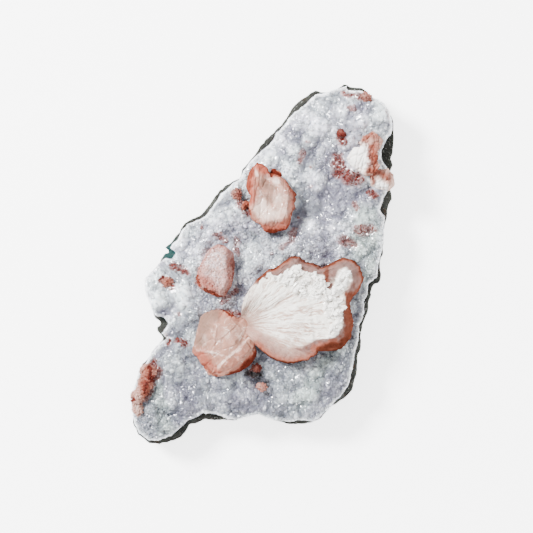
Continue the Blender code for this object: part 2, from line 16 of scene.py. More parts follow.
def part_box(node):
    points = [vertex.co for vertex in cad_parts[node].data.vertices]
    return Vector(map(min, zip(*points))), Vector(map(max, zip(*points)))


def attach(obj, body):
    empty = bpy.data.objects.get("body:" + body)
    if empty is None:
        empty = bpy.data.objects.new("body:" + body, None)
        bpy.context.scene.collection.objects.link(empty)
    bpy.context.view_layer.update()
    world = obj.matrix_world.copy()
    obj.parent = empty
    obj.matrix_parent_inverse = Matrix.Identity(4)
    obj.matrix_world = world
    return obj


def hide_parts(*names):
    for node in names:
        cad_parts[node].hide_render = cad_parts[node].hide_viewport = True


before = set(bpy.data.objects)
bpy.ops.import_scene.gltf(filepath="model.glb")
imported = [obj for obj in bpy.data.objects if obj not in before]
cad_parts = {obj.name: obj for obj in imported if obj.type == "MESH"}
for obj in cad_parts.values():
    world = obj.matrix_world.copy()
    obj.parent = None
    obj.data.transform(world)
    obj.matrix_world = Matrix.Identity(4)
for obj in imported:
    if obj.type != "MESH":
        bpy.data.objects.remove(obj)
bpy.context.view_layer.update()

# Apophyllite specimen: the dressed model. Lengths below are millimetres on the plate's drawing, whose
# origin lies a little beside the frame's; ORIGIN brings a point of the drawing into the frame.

LOG = logging.getLogger("specimen")
MM = 0.001
BODY = "root"
ABOVE = 0.06  # a level in metres that is over every crystal
SHEAF_FOOT = 19.9  # level that the fan and the lobe are rooted at
Array = np.ndarray
Point = tuple[float, float]
Socket = bpy.types.NodeSocket

WORD = 0xFFFFFFFF  # largest number of the uneven numbers' arithmetic
CELL_PRIMES = (374761393, 668265263, 2147483647)
TABLET_CORNER = (-33.5, -16.8)  # lowest corner of left_tablet on the drawing
ORIGIN = np.array([*(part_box("left_tablet")[0][k] / MM - TABLET_CORNER[k] for k in (0, 1)), 0.0])


# ---------------------------------------------------------------- uneven numbers

def cell_hash(cells: Array, seed: int) -> Array:
    """Uneven numbers from 0 to 1 for integer cells.

    Args:
        cells: Integer cells, one row each.
        seed: Number of the pattern.

    Returns:
        One number per row.
    """
    mixed = np.full(len(cells), (seed * 2654435761 + 97) & WORD, dtype=np.uint64)
    for column, prime in zip(cells.T, CELL_PRIMES):
        mixed ^= (column.astype(np.int64).astype(np.uint64) * prime) & WORD
        mixed = (mixed * 2246822519) & WORD
        mixed ^= mixed >> np.uint64(15)
    mixed = (mixed * 3266489917) & WORD
    mixed ^= mixed >> np.uint64(13)
    return mixed.astype(float) / WORD


def smooth_noise(points: Array, scale: float, seed: int) -> Array:
    """Smooth noise from -1 to 1.

    Args:
        points: Places, one row of two or three numbers each.
        scale: Size of one wave of the noise.
        seed: Number of the pattern.

    Returns:
        One number per row.
    """
    spots = points / scale
    base = np.floor(spots).astype(np.int64)
    share = spots - base
    share = share * share * (3 - 2 * share)
    total = np.zeros(len(points))
    for corner in np.ndindex(*([2] * points.shape[1])):
        step = np.array(corner)
        weight = np.prod(np.where(step, share, 1 - share), axis=1)
        total += weight * cell_hash(base + step, seed)
    return total * 2 - 1


def rough_noise(points: Array, scale: float, octaves: int, seed: int) -> Array:
    """Sum of smooth noises, each twice as fine and half as strong as the last.

    Args:
        points: Places, one row each.
        scale: Size of the largest wave.
        octaves: How many noises are summed.
        seed: Number of the pattern.

    Returns:
        One number per row, about -1 to 1.
    """
    total, strength = np.zeros(len(points)), 0.0
    for k in range(octaves):
        total += smooth_noise(points, scale / 2**k, seed + k) / 2**k
        strength += 1 / 2**k
    return total / strength


def cells_near(points: Array, spacing: float, seed: int) -> tuple[Array, Array, Array]:
    """Distances to scattered centres, one in each square or cubic cell.

    Args:
        points: Places, one row each.
        spacing: Size of a cell.
        seed: Number of the pattern.

    Returns:
        The nearest distance and the second nearest, in cells, and a number from 0 to 1 for the nearest.
    """
    spots = points / spacing
    base = np.floor(spots).astype(np.int64)
    first = np.full(len(points), 9.0)
    second = np.full(len(points), 9.0)
    owner = np.zeros(len(points))
    for step in np.ndindex(*([3] * points.shape[1])):
        cell = base + np.array(step) - 1
        centre = cell + np.stack([cell_hash(cell, seed + 31 * k) for k in range(points.shape[1])], axis=1)
        away = np.linalg.norm(spots - centre, axis=1)
        closer = away < first
        second = np.where(closer, first, np.minimum(second, away))
        owner = np.where(closer, cell_hash(cell, seed + 977), owner)
        first = np.minimum(first, away)
    return first, second, owner


def ease(values: Array, low: float, high: float) -> Array:
    """Smooth step of values from 0 at low to 1 at high; low may be the larger."""
    share = np.clip((values - low) / (high - low), 0, 1)
    return share * share * (3 - 2 * share)


# ---------------------------------------------------------------- plane geometry

def distance_to_path(places: Array, path: Sequence[Point], closed: bool = False) -> Array:
    """Distance from places to a path of straight sides.

    Args:
        places: Places on the drawing, one row each.
        path: The path's points; one point alone is a dot.
        closed: Whether the last point joins the first.

    Returns:
        One distance per place.
    """
    points = np.array(path, dtype=float)
    if len(points) == 1:
        return np.linalg.norm(places[:, :2] - points[0], axis=1)
    ends = np.roll(points, -1, axis=0) if closed else points[1:]
    nearest = np.full(len(places), np.inf)
    for start, end in zip(points, ends):
        side = end - start
        share = np.clip(((places[:, :2] - start) @ side) / max(side @ side, 1e-12), 0, 1)
        away = places[:, :2] - start - share[:, None] * side
        nearest = np.minimum(nearest, np.einsum("ij,ij->i", away, away))
    return np.sqrt(nearest)


def inside_ring(places: Array, ring: Sequence[Point]) -> Array:
    """Whether places lie inside a ring.

    Args:
        places: Places on the drawing, one row each.
        ring: The ring's points.

    Returns:
        One truth value per place.
    """
    x, y = places[:, 0], places[:, 1]
    crossings = np.zeros(len(places), dtype=int)
    points = np.array(ring, dtype=float)
    for (ax, ay), (bx, by) in zip(points, np.roll(points, -1, axis=0)):
        spans = (ay > y) != (by > y)
        if ay != by:
            crossings += spans & (ax + (bx - ax) * (y - ay) / (by - ay) > x)
    return crossings % 2 == 1


@dataclass(frozen=True)
class Stroke:
    """A touch of colour along a path on the drawing."""

    path: tuple[Point, ...]  # points of the path; one point is a dot
    width: float  # half width of the touch
    strength: float = 1.0  # its value on the path
    ragged: float = 0.5  # how unevenly it ends, as a share of the width

    def over(self, places: Array, soft: bool = False) -> Array:
        """The touch's value at places.

        Args:
            places: Places on the drawing, one row each.
            soft: Whether it fades all the way from its path.

        Returns:
            One value per place.
        """
        away = distance_to_path(places, self.path) / self.width
        away += self.ragged * rough_noise(places[:, :2], max(self.width, 1.2), 3, 5)
        return self.strength * (ease(away, 1.55, -0.15) if soft else ease(away, 1.15, 0.35))


Strokes = tuple[Stroke, ...]


def painted(places: Array, strokes: Iterable[Stroke], soft: bool = False) -> Array:
    """The strongest of several touches at places, from 0 to 1.

    Args:
        places: Places on the drawing, one row each.
        strokes: The touches.
        soft: Whether they fade all the way from their paths.

    Returns:
        One value per place.
    """
    total = np.zeros(len(places))
    for stroke in strokes:
        total = np.maximum(total, stroke.over(places, soft))
    return np.clip(total, 0, 1)


def touches(text: str) -> Strokes:
    """Touches written as text, parted by semicolons.

    Args:
        text: For each touch the points x,y of its path, a bar, and its half width, strength and raggedness.

    Returns:
        The touches in their order.
    """
    made = []
    for touch in text.split(";"):
        path, numbers = touch.split("|")
        points = tuple(tuple(map(float, point.split(","))) for point in path.split())
        made.append(Stroke(points, *map(float, numbers.split())))
    return tuple(made)


# ---------------------------------------------------------------- meshes

def linked(name: str, content: bpy.types.ID) -> bpy.types.Object:
    """A new object of the scene for a mesh, a light or a camera.

    Args:
        name: Name of the object.
        content: Its mesh, light or camera.

    Returns:
        The object.
    """
    made = bpy.data.objects.new(name, content)
    bpy.context.scene.collection.objects.link(made)
    return made


def extended(values: Array, count: int, rest: float = 0.0) -> Array:
    """Values of the first points, and one number for the rest of the count."""
    return np.concatenate([values, np.full(count - len(values), rest)])


def mesh_object(name: str, points: Array, faces: list, marks: dict[str, Array]) -> bpy.types.Object:
    """A new smoothly shaded object from points on the drawing.

    Args:
        name: Name of the object.
        points: Places in millimetres on the drawing, one row each.
        faces: Corner numbers of each face, anticlockwise seen from outside.
        marks: Numbers to keep with the points, by the name of the attribute.

    Returns:
        The object, at the origin, with its place in its mesh.
    """
    mesh = bpy.data.meshes.new(name)
    mesh.from_pydata(((points + ORIGIN) * MM).tolist(), [], faces)
    mesh.polygons.foreach_set("use_smooth", [True] * len(mesh.polygons))
    made = linked(name, mesh)
    for mark, values in marks.items():
        write_mark(made, mark, values)
    return made


def write_mark(made: bpy.types.Object, mark: str, values: Array) -> None:
    """Keep one number, or one vector, with each point of an object.

    Args:
        made: The object.
        mark: Name of the attribute.
        values: One row per point.
    """
    vector = values.ndim == 2
    kept = made.data.attributes.new(mark, "FLOAT_VECTOR" if vector else "FLOAT", "POINT")
    kept.data.foreach_set("vector" if vector else "value", values.astype(np.float32).ravel())


def read_points(made: bpy.types.Object) -> tuple[Array, Array]:
    """Places on the drawing and unit normals of an object's points.

    Args:
        made: The object.

    Returns:
        The places and the normals, one row per point.
    """
    mesh = made.data
    places = np.empty(len(mesh.vertices) * 3)
    normals = np.empty(len(mesh.vertices) * 3)
    mesh.vertices.foreach_get("co", places)
    mesh.vertex_normals.foreach_get("vector", normals)
    return places.reshape(-1, 3) / MM - ORIGIN, normals.reshape(-1, 3)


def write_points(made: bpy.types.Object, places: Array) -> None:
    """Give an object's points new places on the drawing."""
    made.data.vertices.foreach_set("co", ((places + ORIGIN) * MM).ravel())
    made.data.update()


def turned_outwards(made: bpy.types.Object) -> None:
    """Recalculate an object's normals so that its faces point outwards.

    Args:
        made: The object.
    """
    bm = bmesh.new()
    bm.from_mesh(made.data)
    bmesh.ops.recalc_face_normals(bm, faces=bm.faces[:])
    bmesh.ops.triangulate(bm, faces=[face for face in bm.faces if len(face.verts) > 4])
    bm.to_mesh(made.data)
    bm.free()


def settled(made: bpy.types.Object) -> bpy.types.Object:
    """Apply an object's modifiers and take them off.

    Args:
        made: The object; it keeps its name.

    Returns:
        The same object with a plain mesh.
    """
    graph = bpy.context.evaluated_depsgraph_get()
    mesh = bpy.data.meshes.new_from_object(made.evaluated_get(graph))
    made.modifiers.clear()
    old, made.data = made.data, mesh
    bpy.data.meshes.remove(old)
    mesh.name = made.name
    return made


def remeshed(name: str, bm: bmesh.types.BMesh, voxel: float) -> bpy.types.Object:
    """Turn a closed BMesh in metres into an object with an even fine mesh.

    Args:
        name: Name of the object.
        bm: The shape; it is freed.
        voxel: Size of the new faces in millimetres.

    Returns:
        The object.
    """
    mesh = bpy.data.meshes.new(name)
    bm.to_mesh(mesh)
    bm.free()
    made = linked(name, mesh)
    modifier = made.modifiers.new("even", "REMESH")
    modifier.mode = "VOXEL"
    modifier.voxel_size = voxel * MM
    modifier.use_smooth_shade = True
    return settled(made)


def copy_of_node(node: str) -> bmesh.types.BMesh:
    """A merged copy of a CAD node's mesh.

    Args:
        node: Name of the CAD node.

    Returns:
        The copy, in metres.
    """
    bm = bmesh.new()
    bm.from_mesh(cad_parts[node].data)
    bmesh.ops.remove_doubles(bm, verts=bm.verts[:], dist=1e-6)
    return bm


def rides(made: bpy.types.Object, slot: str, *nodes: str) -> bpy.types.Object:
    """Put a piece on the one body, hide the CAD nodes that it replaces, and log its faces.

    Args:
        made: The piece.
        slot: Material slot of the record; it is not used.
        *nodes: CAD nodes that it replaces.

    Returns:
        The piece.
    """
    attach(made, BODY)
    if nodes:
        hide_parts(*nodes)
    LOG.info("%s: %d faces", made.name, len(made.data.polygons))
    return made


# ---------------------------------------------------------------- node trees

def _operator(operation: str, reflected: bool = False) -> Callable[["Value", "Value | float"], "Value"]:
    """An arithmetic method that adds one Math node.

    Args:
        operation: The node's operation.
        reflected: Whether the value stands on the right.

    Returns:
        The method.
    """
    def method(self: "Value", other: "Value | float") -> "Value":
        """Add the node."""
        given = (other, self) if reflected else (self, other)
        return self.graph.math(operation, *given)
    return method


class Value:
    """A socket of a node tree that takes part in arithmetic, on either side of a number."""

    __add__, __radd__ = _operator("ADD"), _operator("ADD", True)
    __sub__, __rsub__ = _operator("SUBTRACT"), _operator("SUBTRACT", True)
    __mul__, __rmul__ = _operator("MULTIPLY"), _operator("MULTIPLY", True)

    def __init__(self, graph: "Graph", socket: Socket) -> None:
        """Keep the tree and the socket."""
        self.graph, self.socket = graph, socket

    def stepped(self, low: float, high: float) -> "Value":
        """Smooth step from 0 at low to 1 at high."""
        return self.graph.value("ShaderNodeMapRange", {"Value": self, "From Min": low, "From Max": high},
                                interpolation_type="SMOOTHSTEP")


class Graph:
    """A node tree being written: one method adds a node, and arithmetic on values adds Math nodes."""

    def __init__(self, tree: bpy.types.NodeTree) -> None:
        """Keep the tree."""
        self.tree = tree

    def node(self, kind: str, inputs: dict | None = None, **settings: object) -> bpy.types.Node:
        """Add a node.

        Args:
            kind: Type of the node.
            inputs: Values or links of its sockets, by name or number.
            **settings: Its settings, set before its sockets.

        Returns:
            The node.
        """
        made = self.tree.nodes.new(kind)
        for name, setting in settings.items():
            setattr(made, name, setting)
        for name, given in (inputs or {}).items():
            self.feed(made.inputs[name], given)
        return made

    def feed(self, socket: Socket, given: object) -> None:
        """Link a value to a socket, or set the socket to a constant.

        Args:
            socket: The socket.
            given: A value, a link or a constant.
        """
        given = given.socket if isinstance(given, Value) else given
        if isinstance(given, Socket):
            self.tree.links.new(given, socket)
        else:
            socket.default_value = given

    def value(self, kind: str, inputs: dict | None = None, output: int | str = 0,
              **settings: object) -> Value:
        """Add a node and take one of its outputs as a value."""
        return Value(self, self.node(kind, inputs, **settings).outputs[output])

    def math(self, operation: str, *given: "Value | float") -> Value:
        """Add a Math node."""
        return self.value("ShaderNodeMath", dict(enumerate(given)), operation=operation)

    def vector(self, operation: str, inputs: dict) -> Value:
        """Add a Vector Math node."""
        return self.value("ShaderNodeVectorMath", inputs, operation=operation)

    def blend(self, share: "Value | float", first: object, second: object, kind: str = "MIX") -> Value:
        """Mix two colours.

        Args:
            share: How much of the second.
            first: Colour or value.
            second: Colour or value.
            kind: Way of mixing.

        Returns:
            The mixed colour.
        """
        first, second = (c if isinstance(c, Value) else (*c, 1) for c in (first, second))
        return self.value("ShaderNodeMix", {0: share, 6: first, 7: second}, 2, data_type="RGBA",
                          blend_type=kind)

    def mark(self, name: str) -> Value:
        """The number kept with the points under this name."""
        return self.value("ShaderNodeAttribute", output="Fac", attribute_name=name)

    def place(self) -> Value:
        """Object coordinates."""
        return self.value("ShaderNodeTexCoord", output="Object")

    def grain(self, size: float, detail: float = 3) -> Value:
        """Noise from 0 to 1 whose waves have this size in millimetres."""
        return self.value("ShaderNodeTexNoise", {"Vector": self.place(), "Scale": 1 / (size * MM),
                                                 "Detail": detail, "Roughness": 0.55})

    def facets(self, size: float, tilt: float, share: "Value | float" = 1.0) -> tuple[Value, Value]:
        """Small flat faces over the surface, each turned its own way.

        Args:
            size: Width of a face in millimetres.
            tilt: How far a face leans, as a share of the normal.
            share: How much of the lean is left at a place.

        Returns:
            The bent normal and a number from 0 to 1 for each face.
        """
        cells = self.node("ShaderNodeTexVoronoi", {"Vector": self.place(), "Scale": 1 / (size * MM)})
        colour = cells.outputs["Color"]
        lean = self.vector("MULTIPLY_ADD", {0: colour, 1: (tilt,) * 3, 2: (-tilt / 2,) * 3})
        lean = self.vector("SCALE", {0: lean, "Scale": share})
        bent = self.vector("ADD", {0: self.value("ShaderNodeNewGeometry", output="Normal"), 1: lean})
        return self.vector("NORMALIZE", {0: bent}), self.value("ShaderNodeSeparateColor", {"Color": colour})

    def cracks(self, size: float, width: float) -> Value:
        """Thin broken lines that wander over the surface.

        Args:
            size: Distance from one line to the next in millimetres.
            width: Half width of a line in millimetres.

        Returns:
            1 on a line, 0 beside it.
        """
        wander = self.node("ShaderNodeTexNoise", {"Vector": self.place(), "Scale": 0.7 / (size * MM)})
        warped = self.vector("MULTIPLY_ADD", {0: wander.outputs["Color"], 1: (size * MM * 1.4,) * 3,
                                              2: self.place()})
        edge = self.value("ShaderNodeTexVoronoi", {"Vector": warped, "Scale": 1 / (size * MM)},
                          feature="DISTANCE_TO_EDGE")
        return edge.stepped(width / size, 0.0) * self.grain(size * 0.8, 2).stepped(0.42, 0.62)

    def bumps(self, height: Value, strength: float, distance: float, normal: Value | None = None) -> Value:
        """A Bump node.

        Args:
            height: Height of the relief from 0 to 1.
            strength: Strength of the bump.
            distance: Full height in millimetres.
            normal: An earlier bump under this one.

        Returns:
            The bent normal.
        """
        inputs = {"Strength": strength, "Distance": distance * MM, "Height": height}
        return self.value("ShaderNodeBump", inputs | ({"Normal": normal} if normal else {}))


Colour = tuple[float, float, float]


@dataclass(frozen=True)
class Finish:
    """A finish of the specimen: constants of the surface, and a tree written by its own class."""

    name: str  # name of the material
    roughness: float = 0.5  # roughness where the tree doesn't vary it
    glow: float = 0.0  # share of light that travels under the surface
    reach: float = 1.0  # how far it travels there in millimetres
    index: float = 1.5  # index of refraction
    shine: float = 0.5  # level of the specular reflection
    light: float = 0.0  # strength of its own white light
    coat_roughness: float = 0.2  # roughness of the glassy skin, where the tree gives one
    tint: Colour = (1.0, 0.9, 0.85)  # share of the reach for red, green and blue

    def material(self) -> bpy.types.Material:
        """The material, made once.

        Returns:
            The material.
        """
        found = bpy.data.materials.get(self.name)
        if found:
            return found
        made = bpy.data.materials.new(self.name)
        made.use_nodes = True
        graph = Graph(made.node_tree)
        shader = made.node_tree.nodes["Principled BSDF"]
        constants = {"Roughness": self.roughness, "Subsurface Weight": self.glow, "IOR": self.index,
                     "Subsurface Scale": self.reach * MM, "Specular IOR Level": self.shine,
                     "Emission Strength": self.light, "Coat Roughness": self.coat_roughness}
        for socket, constant in constants.items():
            shader.inputs[socket].default_value = constant
        shader.inputs["Subsurface Radius"].default_value = self.tint
        for socket, given in self.surface(graph).items():
            graph.feed(shader.inputs[socket], given)
        return made

    def surface(self, graph: Graph) -> dict[str, Value]:
        """What varies over the surface, by the shader's sockets."""
        raise NotImplementedError

    def dress(self, made: bpy.types.Object) -> bpy.types.Object:
        """Give an object this finish alone.

        Args:
            made: The object.

        Returns:
            The same object.
        """
        made.data.materials.clear()
        made.data.materials.append(self.material())
        return made


@dataclass(frozen=True)
class QuartzFinish(Finish):
    """Milky quartz of the crust: blue-grey in the hollows and darkened there by painted shade, frosty on the
    lumps, stained in places.
    """

    hollow_and_shade: Colour = (0.15, 0.152, 0.185)  # colour between the lumps: blue-grey quartz darkened as painted shade
    body: Colour = (0.3, 0.308, 0.34)  # colour of the slopes
    frost: Colour = (0.72, 0.735, 0.765)  # colour of the frosty tops and of the painted highlight rings
    green: Colour = (0.9, 1.0, 0.9)  # tint of the greenish patches
    veil: Colour = (0.27, 0.14, 0.13)  # colour of the thin stains
    stain: Colour = (0.085, 0.008, 0.005)  # colour of the iron stains
    pit_shade: Colour = (0.012, 0.008, 0.008)  # near-black painted shade deep in the pit
    sparkle: float = 0.32  # how far each small facet differs from the next

    def surface(self, graph: Graph) -> dict[str, Value]:
        """Colour from the crust's marks and two grains, with small facets that catch the light.

        Args:
            graph: The material's tree.

        Returns:
            What varies, by the shader's sockets.
        """
        grain = graph.grain(2.2, 3)
        calm = graph.mark("calm")
        facet, tone = graph.facets(2.0, 0.72, 1 - calm * 0.6)
        level = graph.mark("frost") + (grain - 0.5) * 0.3 + (tone - 0.5) * (1 - calm * 0.7) * self.sparkle
        level = level + (graph.mark("shade") - 0.4) * 0.34
        # A low level gives the hollow colour, which paints shade between the lumps; a high level gives the
        # frost colour.
        colour = graph.blend(level.stepped(0.0, 0.5), self.hollow_and_shade, self.body)
        colour = graph.blend(level.stepped(0.4, 1.05), colour, self.frost)
        tint = graph.blend(graph.grain(24, 2).stepped(0.38, 0.62), (0.96, 0.93, 1.0), (0.94, 0.985, 0.97))
        tint = graph.blend(graph.mark("green"), tint, self.green)
        colour = graph.blend(1.0, colour, tint, "MULTIPLY")
        stain = graph.mark("stain") * (0.25 + graph.grain(1.2, 2) * 1.5)
        colour = graph.blend(stain.stepped(0.05, 0.7) * 0.8, colour, self.veil)
        colour = graph.blend(stain.stepped(0.45, 1.0), colour, self.stain)
        colour = graph.blend(graph.mark("edge"), colour, self.frost)
        # Painted shade: the pit and the lobe's shadow beside it go near-black.
        colour = graph.blend(graph.mark("pit_shade") * 0.95, colour, self.pit_shade)
        return {
            "Base Color": colour,
            "Roughness": 0.05 + grain * 0.2,
            "Normal": graph.bumps(graph.grain(0.6, 2), 0.25, 0.15, facet),
        }


@dataclass(frozen=True)
class CrystalFinish(Finish):
    """Milky zeolite crystal: peach body, white where it is fibrous, red-brown where iron stains it."""

    body: Colour = (0.35, 0.175, 0.125)  # colour of the body
    milk: Colour = (0.6, 0.455, 0.39)  # colour of the white, fibrous parts
    smoke: Colour = (0.17, 0.1, 0.075)  # colour of the dull, glassy parts
    blush: Colour = (0.25, 0.062, 0.04)  # colour of the orange-pink parts
    iron: Colour = (0.115, 0.022, 0.012)  # colour of the iron stains
    deep: Colour = (0.05, 0.006, 0.004)  # colour of the darkest stains
    gloss: float = 0.35  # glassy skin on its clean parts; stains are dull
    facet: float = 2.6  # width of its small facets in millimetres
    tilt: float = 0.14  # how far they lean
    veins: float = 0.5  # strength of the white healed cracks
    clouds: float = 1.0  # how much clearer one part is than another

    def surface(self, graph: Graph) -> dict[str, Value]:
        """Colour from the crystal's marks, with grain and streaks over them.

        Args:
            graph: The material's tree.

        Returns:
            What varies, by the shader's sockets.
        """
        grain = graph.grain(1.8, 3)
        fine = graph.grain(0.5, 2)
        uneven = (grain - 0.5) * 0.45 + (fine - 0.5) * 0.25
        streak = graph.mark("streak")
        bent, tone = graph.facets(self.facet, self.tilt)
        crack = (graph.cracks(5.5, 0.3) + graph.cracks(2.6, 0.14) * 0.6) * self.veins
        cloud = graph.grain(6.5, 2) - 0.5
        pale = graph.mark("pale") + uneven * 0.7 + streak * 0.25 + (tone - 0.5) * self.tilt * 0.6 + crack
        pale = pale + cloud * self.clouds
        colour = graph.blend(pale.stepped(0.15, 0.95), self.body, self.milk)
        smoke = graph.mark("smoke") + uneven * 0.6 - cloud * self.clouds
        colour = graph.blend(smoke.stepped(0.15, 0.9), colour, self.smoke)
        blush = graph.mark("blush") * (0.65 + grain * 0.6) * (0.8 + streak * 0.4)
        colour = graph.blend((blush + uneven * 0.25).stepped(0.05, 1.0), colour, self.blush)
        rust = graph.mark("iron") + uneven * 0.6 + streak * 0.1
        colour = graph.blend(rust.stepped(0.2, 0.9), colour, self.iron)
        colour = graph.blend(rust.stepped(0.75, 1.2), colour, self.deep)
        stained = graph.math("MAXIMUM", graph.math("MAXIMUM", graph.mark("iron"), graph.mark("blush")),
                             graph.mark("smoke"))
        return {
            "Base Color": colour,
            "Roughness": 0.3 + grain * 0.25,
            "Coat Weight": (1 - stained).stepped(0.15, 0.9) * self.gloss,
            "Normal": graph.bumps(fine * 0.6 + streak * 0.4, 0.5, 0.2, bent),
        }


@dataclass(frozen=True)
class BasaltFinish(Finish):
    """Dark basalt with pale specks, rust and a few green spots."""

    ground: Colour = (0.02, 0.0205, 0.018)  # colour of the rock
    worn: Colour = (0.05, 0.052, 0.046)  # colour of its weathered parts
    speck: Colour = (0.25, 0.255, 0.235)  # colour of the pale specks
    rust: Colour = (0.05, 0.024, 0.01)  # colour of the rusty spots
    teal: Colour = (0.014, 0.045, 0.043)  # colour of the green lining

    def surface(self, graph: Graph) -> dict[str, Value]:
        """Ground, weathering, specks and lining.

        Args:
            graph: The material's tree.

        Returns:
            What varies, by the shader's sockets.
        """
        broad = graph.grain(9, 4)
        grain = graph.grain(0.9, 3)
        colour = graph.blend(broad.stepped(0.42, 0.66), self.ground, self.worn)
        colour = graph.blend(graph.grain(5, 3).stepped(0.6, 0.72) * 0.5, colour, self.rust)
        colour = graph.blend(grain.stepped(0.6, 0.7) * 0.8, colour, self.speck)
        colour = graph.blend(graph.mark("teal") * (0.4 + grain), colour, self.teal)
        return {
            "Base Color": colour,
            "Roughness": 0.7 + grain * 0.25,
            "Normal": graph.bumps(graph.grain(1.1, 4), 1.0, 1.2),
        }


# ---------------------------------------------------------------- growths

class Shape(Enum):
    """Form of a small crystal that is grown many times."""

    POINT = "point"
    PRISM = "prism"
    FLAKE = "flake"


@dataclass(frozen=True)
class Growth:
    """Small crystals grown all over a surface by Geometry Nodes."""

    shape: Shape  # form of one crystal
    spacing: float  # least distance between two crystals in millimetres
    smallest: float  # least size in millimetres
    largest: float  # largest size in millimetres
    slender: float  # height over width of a crystal
    lean: float  # how far a crystal leans, in degrees
    seed: int  # number of the arrangement
    mark: str = "grow"  # attribute of the surface that says where the crystals grow
    densest: float = 4e6  # most crystals in a square metre

    def _crystal(self, graph: Graph) -> Value:
        """One closed crystal of unit width, standing on the origin.

        Args:
            graph: The growth's tree.

        Returns:
            The crystal's mesh.
        """
        def drum(depth: float) -> Value:
            """A six-sided drum."""
            return graph.value("GeometryNodeMeshCylinder", {"Vertices": 6, "Radius": 0.5, "Depth": depth},
                               "Mesh", fill_type="NGON")

        def moved(form: Value, **change: tuple[float, float, float]) -> Value:
            """A form, moved, turned or scaled."""
            return graph.value("GeometryNodeTransform", {"Geometry": form, **change})

        # A flake is a thin narrow drum with one end lifted, a point is a cone, a prism a drum under a cone.
        if self.shape is Shape.FLAKE:
            return moved(drum(0.2), Translation=(0.15, 0, 0.06), Rotation=(0, -0.25, 0),
                         Scale=(1.0, 0.55, 1.0))
        tip_rise, foot = (1.0, 0.0) if self.shape is Shape.POINT else (0.62, 1.0)
        cone = {"Vertices": 6, "Radius Top": 0.0, "Radius Bottom": 0.5, "Depth": tip_rise}
        tip = graph.value("GeometryNodeMeshCone", cone, "Mesh", fill_type="NGON")
        tip = moved(tip, Translation=(0, 0, foot))
        if not foot:
            return tip
        joined = graph.node("GeometryNodeJoinGeometry")
        for part in (tip, moved(drum(foot), Translation=(0, 0, foot / 2))):
            graph.feed(joined.inputs[0], part)
        return Value(graph, joined.outputs[0])

    def _tree(self, finish: Finish) -> bpy.types.NodeTree:
        """The tree: scatter, stand up, lean, size, shade, and make real.

        Args:
            finish: Finish of the crystals.

        Returns:
            The tree, with its numbers as named inputs.
        """
        tree = bpy.data.node_groups.new(f"{self.shape.value}_growth_{self.seed}", "GeometryNodeTree")
        numbers = [(name, "Float") for name in ("Spacing", "Smallest", "Largest", "Slender", "Lean")]
        tree.interface.new_socket("Geometry", in_out="OUTPUT", socket_type="NodeSocketGeometry")
        for name, kind in [("Geometry", "Geometry"), *numbers, ("Seed", "Int")]:
            tree.interface.new_socket(name, in_out="INPUT", socket_type=f"NodeSocket{kind}")
        graph = Graph(tree)
        given = {s.name: Value(graph, s) for s in graph.node("NodeGroupInput").outputs if s.name}
        lean, seed = given["Lean"], given["Seed"]

        def mark(name: str, kind: str = "FLOAT") -> Value:
            """What the surface keeps under a name."""
            return graph.value("GeometryNodeInputNamedAttribute", {"Name": name}, "Attribute", data_type=kind)

        def drawn(low: object, high: object, number: Value, kind: str = "FLOAT") -> Value:
            """An uneven number or vector for each crystal."""
            return graph.value("FunctionNodeRandomValue", {"Min": low, "Max": high, "Seed": number}, "Value",
                               data_type=kind)

        def vector(x: Value, y: Value, z: Value | float) -> Value:
            """A vector from its parts."""
            return graph.value("ShaderNodeCombineXYZ", {"X": x, "Y": y, "Z": z})

        scatter = graph.node("GeometryNodeDistributePointsOnFaces", {
            "Mesh": given["Geometry"], "Distance Min": given["Spacing"], "Density Max": self.densest,
            "Density Factor": mark(self.mark), "Seed": seed}, distribute_method="POISSON")
        upright, turn = Value(graph, scatter.outputs["Rotation"]), math.pi
        if self.shape is Shape.FLAKE:
            upright, turn = graph.value(
                "FunctionNodeAxesToRotation",
                {"Primary Axis": scatter.outputs["Normal"], "Secondary Axis": mark("grain", "FLOAT_VECTOR")},
                primary_axis="Z", secondary_axis="X"), 0.5
        nod = drawn(vector(lean * -1, lean * -1, -turn), vector(lean, lean, turn), seed, "FLOAT_VECTOR")
        nod = graph.value("FunctionNodeEulerToRotation", {"Euler": nod})
        turned = graph.value("FunctionNodeRotateRotation", {"Rotation": upright, "Rotate By": nod},
                             rotation_space="LOCAL")
        width = drawn(given["Smallest"], given["Largest"], seed + 5)
        stood = graph.value("GeometryNodeInstanceOnPoints", {
            "Points": scatter.outputs["Points"], "Instance": self._crystal(graph), "Rotation": turned,
            "Scale": vector(width, width, width * given["Slender"])})
        shaded = graph.value("GeometryNodeStoreNamedAttribute",
                             {"Geometry": stood, "Name": "shade", "Value": drawn(0.0, 1.0, seed + 9)},
                             data_type="FLOAT", domain="INSTANCE")
        real = graph.value("GeometryNodeRealizeInstances", {"Geometry": shaded})
        dressed = graph.value("GeometryNodeSetMaterial", {"Geometry": real, "Material": finish.material()})
        graph.node("NodeGroupOutput", {"Geometry": dressed})
        return tree

    def grown(self, name: str, surface: bpy.types.Object, finish: Finish) -> bpy.types.Object:
        """Grow the crystals on a surface.

        Args:
            name: Name of the new piece.
            surface: Object with the mark; it is left as it was.
            finish: Finish of the crystals.

        Returns:
            The crystals, one plain mesh.
        """
        tree = self._tree(finish)
        modifier = surface.modifiers.new("growth", "NODES")
        modifier.node_group = tree
        values = {"Spacing": self.spacing * MM, "Smallest": self.smallest * MM,
                  "Largest": self.largest * MM, "Slender": self.slender,
                  "Lean": math.radians(self.lean), "Seed": self.seed}
        for socket in tree.interface.items_tree:
            if socket.name in values:
                modifier[socket.identifier] = values[socket.name]
        graph = bpy.context.evaluated_depsgraph_get()
        mesh = bpy.data.meshes.new_from_object(surface.evaluated_get(graph))
        surface.modifiers.remove(modifier)
        mesh.name = name
        mesh.polygons.foreach_set("use_smooth", [False] * len(mesh.polygons))
        return linked(name, mesh)


# ---------------------------------------------------------------- plate

